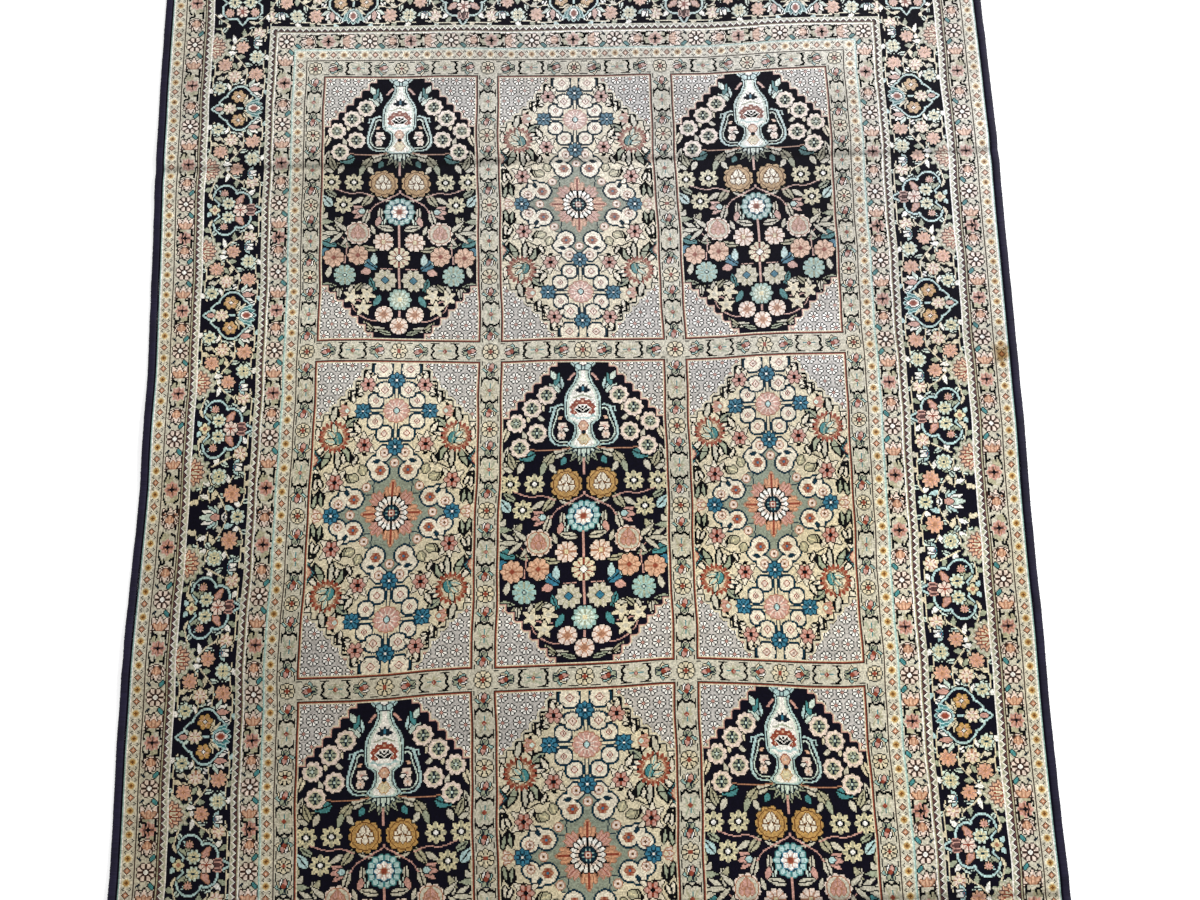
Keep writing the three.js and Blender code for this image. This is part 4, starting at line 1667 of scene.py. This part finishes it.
def edge_cord(side, seed):
    """A ring of corners on each turn and one in each groove, all the way along."""
    rng = np.random.default_rng(seed)
    outwards = 1 if side == "right" else -1
    turns = int(2 * HALF_OVERALL / TURN_PITCH)
    along = np.linspace(-HALF_OVERALL, HALF_OVERALL, 2 * turns + 1)
    count = len(along)
    crest = np.where(np.arange(count) % 2 == 1, 1 + rng.normal(0, 0.025, count),
                     1 - GROOVE + rng.normal(0, 0.012, count))
    bundles = rng.normal(0, 0.45, int(2 * HALF_OVERALL / BUNDLE) + 2)
    uneven = np.interp(along, np.linspace(-HALF_OVERALL, HALF_OVERALL, len(bundles)), bundles)
    radius = EDGE_WIDTH / 2 * crest
    middle = outwards * (RUG_WIDTH / 2 + wander(side, along) - EDGE_WIDTH / 2 + 0.4 * uneven)
    floor = lift(middle, along)
    angle = -2 * np.pi * (np.arange(CORD_AROUND) + 0.5) / CORD_AROUND
    cos, sin = np.cos(angle), np.sin(angle)
    flat_cos, flat_sin = np.sign(cos) * np.abs(cos) ** 0.8, np.sign(sin) * np.abs(sin) ** 0.8
    x = middle[:, None] + radius[:, None] * flat_cos
    slant = 0.5 * outwards * flat_cos * np.sign(sin)
    ends = np.clip((HALF_OVERALL - np.abs(along)) / TURN_PITCH, 0, 1)[:, None]
    y = along[:, None] + slant * ends + rng.normal(0, 0.06, (count, 1)) * ends
    z = floor[:, None] + EDGE_THICKNESS / 2 * (1 + flat_sin * crest[:, None]) * (1 + 0.02 * uneven[:, None])
    corners = np.stack([x, y, np.maximum(z, floor[:, None])], -1).reshape(-1, 3) * MM
    ring = np.arange(CORD_AROUND)
    start = (np.arange(count - 1) * CORD_AROUND)[:, None]
    after = (ring + 1) % CORD_AROUND
    faces = np.stack([start + ring, start + after, start + after + CORD_AROUND,
                      start + ring + CORD_AROUND], -1).reshape(-1, 4).tolist()
    last = (count - 1) * CORD_AROUND
    faces += [list(range(CORD_AROUND))[::-1], list(range(last, last + CORD_AROUND))]
    piece = new_piece("edge_cord_" + side + "_overcast", corners, faces)
    lay_out(piece, tube_layout(count, CORD_AROUND))
    return piece


CORDS = {side: edge_cord(side, seed) for side, seed in (("left", 11), ("right", 12))}
print("edge cords:", [len(cord.data.polygons) for cord in CORDS.values()], "faces")

# %% [markdown]
# ## The fringe
#
# The fringe is the rug's own warps. At each end they are knotted together in
# small bunches against the flat-woven end, and then lie free. Hair particles
# would be heavy in an exported file, so each strand is a thin bent tube: a
# bunch leans a little, and its strands spread, cross and wave in their own way.

# %% Strands and knots
BUNCH_COUNT, STRANDS = 98, 8
FRINGE_LENGTH, FRINGE_HEADING = 52, 4
STRAND_RADIUS = 0.42
STRAND_STEPS, STRAND_AROUND = 8, 4
KNOT_RINGS, KNOT_AROUND = 5, 8


def tube(middles, radii, around, flat=1.0):
    """Corners of a closed tube through points that run along y."""
    turn = 2 * np.pi * np.arange(around) / around
    x = middles[:, None, 0] + radii[:, None] * np.cos(turn)
    y = np.repeat(middles[:, 1:2], around, 1)
    z = middles[:, None, 2] + radii[:, None] * flat * np.sin(turn)
    return np.stack([x, y, z], -1).reshape(-1, 3)


def tube_faces(rings, around):
    """Faces that join the corners of a tube, and its two caps."""
    ring = np.arange(around)
    after = (ring + 1) % around
    faces = []
    for i in range(rings - 1):
        low = i * around
        faces += np.stack([low + ring, low + ring + around, low + after + around, low + after], 1).tolist()
    last = (rings - 1) * around
    return faces + [ring.tolist(), (last + ring[::-1]).tolist()]


def strand(rng, root_x, root_y, headwards, lean, spread):
    """One warp end from its knot to its tip."""
    share = np.linspace(0, 1, STRAND_STEPS + 1)
    length = (FRINGE_LENGTH - FRINGE_HEADING) * rng.uniform(0.9, 1.0)
    wave = rng.normal(0, 0.5, 2)
    x = root_x + spread * np.sqrt(share) + lean * share ** 1.5
    x = x + wave[0] * np.sin(share * 5 + rng.uniform(0, 6)) + wave[1] * np.sin(share * 11 + 1)
    y = root_y + headwards * length * share
    z = 0.45 + 0.7 * (1 - share) ** 2 + rng.uniform(0, 0.7) * np.sin(np.pi * share)
    radii = STRAND_RADIUS * (1 - 0.35 * share ** 3)
    return tube(np.stack([x, y, z], 1), radii, STRAND_AROUND)


def bunch_knot(rng, x, y, headwards, half):
    """The knot that holds a bunch: a small flattened lump."""
    share = np.linspace(0, 1, KNOT_RINGS)
    swell = np.sin(np.pi * (0.12 + 0.76 * share))
    middles = np.stack([x + 0 * share, y + headwards * (FRINGE_HEADING + 1.2) * share, 0.85 + 0 * share], 1)
    return tube(middles, half * rng.uniform(0.9, 1.08) * swell, KNOT_AROUND, 0.28)


print("faces of a strand:", len(tube_faces(STRAND_STEPS + 1, STRAND_AROUND)))


# %% The combs of bunches
def fringe(name, headwards, seed):
    rng = np.random.default_rng(seed)
    start = headwards * (HALF_OVERALL + SEAT_GAP)
    low = -RUG_WIDTH / 2 - wander("left", start)
    high = RUG_WIDTH / 2 + wander("right", start)
    pitch = (high - low) / BUNCH_COUNT
    strand_faces = tube_faces(STRAND_STEPS + 1, STRAND_AROUND)
    knot_faces = tube_faces(KNOT_RINGS, KNOT_AROUND)
    corners, faces, count = [], [], 0
    for i in range(BUNCH_COUNT):
        x = low + (i + 0.5) * pitch
        shapes = [(bunch_knot(rng, x, start, headwards, pitch * 0.48), knot_faces)]
        lean = rng.normal(0, 1.6) if 0 < i < BUNCH_COUNT - 1 else 0
        root_y = start + headwards * FRINGE_HEADING
        for k in range(STRANDS):
            place = (k + 0.5) / STRANDS - 0.5
            root_x = x + place * pitch * 0.45
            spread = place * pitch * 0.5 + rng.normal(0, 0.5)
            shapes.append((strand(rng, root_x, root_y, headwards, lean, spread), strand_faces))
        for shape, shape_faces in shapes:
            corners.append(shape)
            faces += [[corner + count for corner in face] for face in shape_faces]
            count += len(shape)
    corners = np.vstack(corners)
    corners[:, 2] = np.maximum(corners[:, 2], 0.05)
    if headwards < 0:
        faces = [face[::-1] for face in faces]
    return new_piece(name, corners * MM, faces)


FRINGES = {
    "fringe_head": fringe("fringe_head_strands", 1, 21),
    "fringe_foot": fringe("fringe_foot_strands", -1, 22),
}
print("fringes:", [len(piece.data.polygons) for piece in FRINGES.values()], "faces")

# %% [markdown]
# ## The silk
#
# Silk pile has a look of its own. Each knot takes the dye a little differently,
# and whole rows differ where a new batch of silk began. Light and shade are also
# painted into the colour: paler towards the lamp, deeper in the far corner, and
# a dark line along each pressed fold. The gloss of the cut ends is broad and weak.
# All of it is worked out by nodes from the knot's dye, its place on the loom and
# its place on the floor, so a knot is one even speck, and no two are quite alike.

# %% A kit for materials
def add(owner, kind, inputs=None, **settings):
    """A node of a material or world, with its inputs set or joined by name or number."""
    node = owner.node_tree.nodes.new(kind)
    for key, value in settings.items():
        setattr(node, key, value)
    for socket, value in (inputs or {}).items():
        if isinstance(value, bpy.types.NodeSocket):
            owner.node_tree.links.new(value, node.inputs[socket])
        else:
            node.inputs[socket].default_value = value
    return node


def noise(material, vector, scale, detail=2.0, roughness=0.5):
    return add(material, "ShaderNodeTexNoise",
               {"Vector": vector, "Scale": scale, "Detail": detail, "Roughness": roughness}).outputs[0]


def ranged(material, value, low, high, to_low, to_high, kind="LINEAR"):
    return add(material, "ShaderNodeMapRange",
               {0: value, 1: low, 2: high, 3: to_low, 4: to_high}, interpolation_type=kind).outputs[0]


def vector_node(material, operation, *inputs, output=0):
    """A step of arithmetic with places. A length or a dot product is output 1."""
    node = add(material, "ShaderNodeVectorMath", dict(enumerate(inputs)), operation=operation)
    return node.outputs[output]


def stretched(material, vector, scale):
    return vector_node(material, "MULTIPLY", vector, scale)


def math_node(material, operation, a, b):
    return add(material, "ShaderNodeMath", {0: a, 1: b}, operation=operation).outputs[0]


def tinted(material, colour, value, amount=1.0):
    """Multiply a colour by a second colour or a plain value."""
    mix = add(material, "ShaderNodeMix", {0: amount, 6: colour, 7: value}, data_type="RGBA",
              blend_type="MULTIPLY")
    return mix.outputs[2]


def spot(material, place, x, y, half_x, half_y):
    """One inside a soft oval on the rug, nothing outside it."""
    away = vector_node(material, "SUBTRACT", place, (x, y, 0))
    away = stretched(material, away, (1 / half_x, 1 / half_y, 0))
    far = vector_node(material, "LENGTH", away, output=1)
    return ranged(material, far, 0.2, 1.0, 1.0, 0.0, "SMOOTHSTEP")


def new_material(name, roughness, gloss, sheen):
    """A material, its shader, and a socket that gives the place on the floor in metres."""
    material = bpy.data.materials.new(name)
    material.use_nodes = True
    shader = material.node_tree.nodes["Principled BSDF"]
    shader.inputs["Roughness"].default_value = roughness
    shader.inputs["Specular IOR Level"].default_value = gloss
    shader.inputs["Sheen Weight"].default_value = sheen
    shader.inputs["Sheen Roughness"].default_value = 0.4
    return material, shader, add(material, "ShaderNodeTexCoord").outputs["Object"]


def finish_material(material, shader, colour, height, distance, strength):
    """Join the colour and the bump to the shader."""
    bump = add(material, "ShaderNodeBump", {"Height": height, "Distance": distance, "Strength": strength})
    material.node_tree.links.new(colour, shader.inputs["Base Color"])
    material.node_tree.links.new(bump.outputs[0], shader.inputs["Normal"])
    return material


# %% The tones of the dye
def uneven_dye(material, dye, loom, place):
    """The dye as it was taken: by each knot, each batch of silk and each patch of the rug."""
    knot = vector_node(material, "FLOOR", loom)
    speck = add(material, "ShaderNodeTexWhiteNoise", {"Vector": knot}, noise_dimensions="3D").outputs[0]
    colour = tinted(material, dye, ranged(material, speck, 0, 1, 0.66, 1.22))
    blurred = noise(material, stretched(material, loom, (0.35, 0.5, 1)), 1.0, 3, 0.6)
    colour = tinted(material, colour, ranged(material, blurred, 0.3, 0.7, 0.8, 1.14))
    batches = noise(material, stretched(material, loom, (0.003, 0.045, 1)), 1.0, 2)
    colour = tinted(material, colour, ranged(material, batches, 0.3, 0.7, 0.9, 1.06))
    patchy = noise(material, place, 3.2, 3, 0.55)
    return tinted(material, colour, ranged(material, patchy, 0.3, 0.7, 0.82, 1.12))


# %% Age, and painted light and shade
YELLOWED = (1.0, 0.95, 0.84, 1)
# Painted light: towards the lamp the colour is made brighter and bluer in one oval, and paler and greyer in a
# wider one.
PAINTED_LIGHT_TINT, PAINTED_LIGHT_AT = (1.05, 1.06, 1.14, 1), (0.34, 0.62, 0.8, 0.75)  # middle and half size of each oval
PAINTED_SHEEN_AT = (0.15, 0.75, 1.3, 0.85)
# Painted shade: the corner away from the lamp is darkened.
PAINTED_SHADE_TINT, PAINTED_SHADE_AT = (0.62, 0.6, 0.58, 1), (-0.55, -0.5, 0.85, 0.9)
STAIN, STAIN_AT = (0.45, 0.30, 0.14, 1), (0.588, 0.212, 0.019, 0.021)
# Painted shade: a dark line along each pressed fold.
FOLD_LINES = ((0.518, 0.008), (-0.514, 0.008))  # place at the rug's middle line, in metres, and slope
FOLD_SHADE_REACH, FOLD_SHADE_TONE = 0.009, 0.55
print("pressed fold lines:", len(FOLD_LINES))


def aged_with_painted_light(material, colour, place):
    """Yellowed in patches, with painted light that makes it paler and greyer towards the lamp, and painted
    shade that makes it deeper in the corner away from it.
    """
    old = noise(material, stretched(material, place, (1.0, 1.6, 1)), 4.5, 4, 0.6)
    colour = tinted(material, colour, YELLOWED, ranged(material, old, 0.45, 0.7, 0.0, 0.8))
    # Painted light: brighter and bluer towards the lamp, then paler and greyer round it.
    colour = tinted(material, colour, PAINTED_LIGHT_TINT, spot(material, place, *PAINTED_LIGHT_AT))
    colour = add(material, "ShaderNodeHueSaturation",
                 {"Saturation": 0.62, "Value": 0.98, "Fac": spot(material, place, *PAINTED_SHEEN_AT),
                  "Color": colour}).outputs[0]
    # Painted shade: darker in the corner away from the lamp.
    deep = math_node(material, "MULTIPLY", spot(material, place, *PAINTED_SHADE_AT), 0.75)
    return tinted(material, colour, PAINTED_SHADE_TINT, deep)


def folded(material, colour, place):
    """Painted shade: a narrow dark line along each pressed fold."""
    for rise, slope in FOLD_LINES:
        line = vector_node(material, "DOT_PRODUCT", place, (-slope, 1, 0), output=1)
        beside = math_node(material, "ABSOLUTE", math_node(material, "SUBTRACT", line, rise), 0.0)
        fold_shade = ranged(material, beside, 0.0, FOLD_SHADE_REACH, FOLD_SHADE_TONE, 1.0, "SMOOTHSTEP")
        colour = tinted(material, colour, fold_shade)
    return colour


def stained(material, colour, place):
    """One brown stain, with a ragged edge made by shifting the place by a noise."""
    drift = add(material, "ShaderNodeTexNoise", {"Vector": place, "Scale": 90.0}).outputs[1]
    drift = vector_node(material, "SUBTRACT", drift, (0.5, 0.5, 0.5))
    ragged = vector_node(material, "MULTIPLY_ADD", drift, (0.02, 0.02, 0.0), place)
    return tinted(material, colour, STAIN, spot(material, ragged, *STAIN_AT))


# %% The knotted pile
def silk_pile():
    material, shader, place = new_material("silk_pile", 0.52, 0.04, 0.0)
    dye = add(material, "ShaderNodeAttribute", attribute_name="dye").outputs[0]
    loom = add(material, "ShaderNodeAttribute", attribute_name="loom").outputs[1]
    colour = uneven_dye(material, dye, loom, place)
    # The first two marks paint light and shade into the colour; the stain is a real one.
    for mark in (aged_with_painted_light, folded, stained):
        colour = mark(material, colour, place)
    apart = add(material, "ShaderNodeSeparateXYZ", {0: vector_node(material, "FRACTION", loom)})
    ridges = [math_node(material, "PINGPONG", apart.outputs[i], 0.5) for i in (0, 1)]
    ridge = math_node(material, "MINIMUM", *ridges)
    fuzz = noise(material, stretched(material, place, (1500, 700, 700)), 1.0, 3, 0.6)
    height = math_node(material, "ADD", ridge, fuzz)
    return finish_material(material, shader, colour, height, 0.0006, 0.8)


# %% The overcast edges and the warps
def thread_silk(name, finish, grain, deep, bright, worn_scale, tones, bump):
    """Silk threads side by side: a streaky noise between two tones, worn in patches."""
    material, shader, place = new_material(name, *finish)
    threads = noise(material, stretched(material, place, grain), 1.0, 3, 0.6)
    ramp = add(material, "ShaderNodeValToRGB", {0: threads})
    for stop, (position, colour) in zip(ramp.color_ramp.elements, (deep, bright)):
        stop.position, stop.color = position, colour
    worn = ranged(material, noise(material, place, worn_scale, 3, 0.6), 0.35, 0.7, *tones)
    return finish_material(material, shader, tinted(material, ramp.outputs[0], worn), threads, *bump)


MATERIALS = {
    "silk_pile": silk_pile(),
    "edge_silk": thread_silk("edge_silk", (0.6, 0.12, 0.0), (60, 1600, 60),
                             (0.32, (0.004, 0.003, 0.010, 1)), (0.72, (0.016, 0.013, 0.036, 1)),
                             26, (0.75, 1.35), (0.0004, 0.7)),
    "warp_silk": thread_silk("warp_silk", (0.5, 0.3, 0.1), (2600, 160, 900),
                             (0.3, (0.42, 0.34, 0.22, 1)), (0.75, (0.76, 0.70, 0.56, 1)),
                             14, (0.84, 1.04), (0.0003, 0.6)),
}
print("materials:", sorted(MATERIALS))

# %% [markdown]
# ## Dressing the frame
#
# Every piece now takes its material, rides on the rug's one body and stands for
# the solid that it dresses. The foundation is the sheet of cloth: it lies on the
# floor, and the pile, the cords and the fringes are the pieces that go with it.

# %% Ride and replace
def dress(piece, slot, node):
    """Give a piece its material, its body and the solid that it stands for."""
    piece.data.materials.append(MATERIALS[slot])
    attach(piece, "root")
    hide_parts(node)


for piece in PILE:
    dress(piece, "silk_pile", "knotted_body")
dress(FOUNDATION, "warp_silk", "knotted_body")
for side, cord in CORDS.items():
    dress(cord, "edge_silk", "edge_cord_" + side)
for node, piece in FRINGES.items():
    dress(piece, "warp_silk", node)
print("dressed:", len(PILE) + 1 + len(CORDS) + len(FRINGES), "pieces")

# %% [markdown]
# ## The room
#
# A pale floor, one large soft lamp beyond the far right corner and an even sky
# light the rug. The lamp's light falls off across the rug, so its place helps to
# decide which end looks pale and which looks deep. To the camera and in
# reflections the floor and the sky are plain white, but the floor keeps the
# shadow that the rug drops on it.

# %% Floor, lamp and sky
FLOOR_HALF, FLOOR_DROP = 12.0, 0.0004  # the floor is a hair below the rug
FLOOR_GLOW = 0.47  # with the light on it, this makes the floor plain white
SKY_STRENGTH = 0.59
WHITE = (1, 1, 1, 1)


def shows_plain(owner):
    """One for rays that should see plain white: from the camera, by reflection or through glass."""
    path = add(owner, "ShaderNodeLightPath")
    seen = path.outputs["Is Camera Ray"]
    for kind in ("Is Glossy Ray", "Is Transmission Ray"):
        seen = math_node(owner, "MAXIMUM", seen, path.outputs[kind])
    return seen


def white_floor():
    square = ((-1, -1), (1, -1), (1, 1), (-1, 1))
    corners = [(x * FLOOR_HALF, y * FLOOR_HALF, -FLOOR_DROP) for x, y in square]
    floor = new_piece("floor", corners, [(0, 1, 2, 3)], smooth=False)
    material = bpy.data.materials.new("floor_white")
    material.use_nodes = True
    nodes, links = material.node_tree.nodes, material.node_tree.links
    nodes["Principled BSDF"].inputs["Base Color"].default_value = (0.8, 0.8, 0.8, 1)
    nodes["Principled BSDF"].inputs["Roughness"].default_value = 0.9
    bright = add(material, "ShaderNodeBsdfDiffuse", {"Color": (0.9, 0.9, 0.9, 1)}).outputs[0]
    glow = add(material, "ShaderNodeEmission", {"Color": WHITE, "Strength": FLOOR_GLOW}).outputs[0]
    both = add(material, "ShaderNodeAddShader", {0: bright, 1: glow}).outputs[0]
    mix = add(material, "ShaderNodeMixShader",
              {0: shows_plain(material), 1: nodes["Principled BSDF"].outputs[0], 2: both})
    links.new(mix.outputs[0], nodes["Material Output"].inputs["Surface"])
    floor.data.materials.append(material)


def soft_lamp(name, place, aim, size, power):
    light = bpy.data.lights.new(name, "AREA")
    light.size, light.energy = size, power
    lamp = bpy.data.objects.new(name, light)
    lamp.location = place
    lamp.rotation_euler = (Vector(aim) - Vector(place)).to_track_quat("-Z", "Y").to_euler()
    bpy.context.collection.objects.link(lamp)


def even_sky(strength):
    world = bpy.data.worlds.new("studio")
    world.use_nodes = True
    nodes = world.node_tree.nodes
    nodes["Background"].inputs["Color"].default_value = WHITE
    nodes["Background"].inputs["Strength"].default_value = strength
    plain = add(world, "ShaderNodeBackground", {"Color": WHITE}).outputs[0]
    mix = add(world, "ShaderNodeMixShader",
              {0: shows_plain(world), 1: nodes["Background"].outputs[0], 2: plain})
    world.node_tree.links.new(mix.outputs[0], nodes["World Output"].inputs["Surface"])
    bpy.context.scene.world = world


white_floor()
even_sky(SKY_STRENGTH)
soft_lamp("window_lamp", (4.0, 2.9, 3.3), (0.2, 0.3, 0), 1.8, 380)
print("floor:", 2 * FLOOR_HALF, "m square")

# %% [markdown]
# ## The camera
#
# The camera looks almost straight down, from a little towards the foot. It is so
# near that both ends run out of view, which shows the design large.

# %% Place the camera
scene = bpy.context.scene
camera_data = bpy.data.cameras.new("camera")
camera_data.lens, camera_data.sensor_width = 42, 36
camera = bpy.data.objects.new("camera", camera_data)
camera.location = (0.0085, -0.415, 1.859)
camera.rotation_euler = (0.2622, -0.0033, -0.0196)
scene.collection.objects.link(camera)
scene.camera = camera
scene.view_settings.view_transform = "Standard"
print("camera:", round(camera.location.z, 2), "m above the floor")
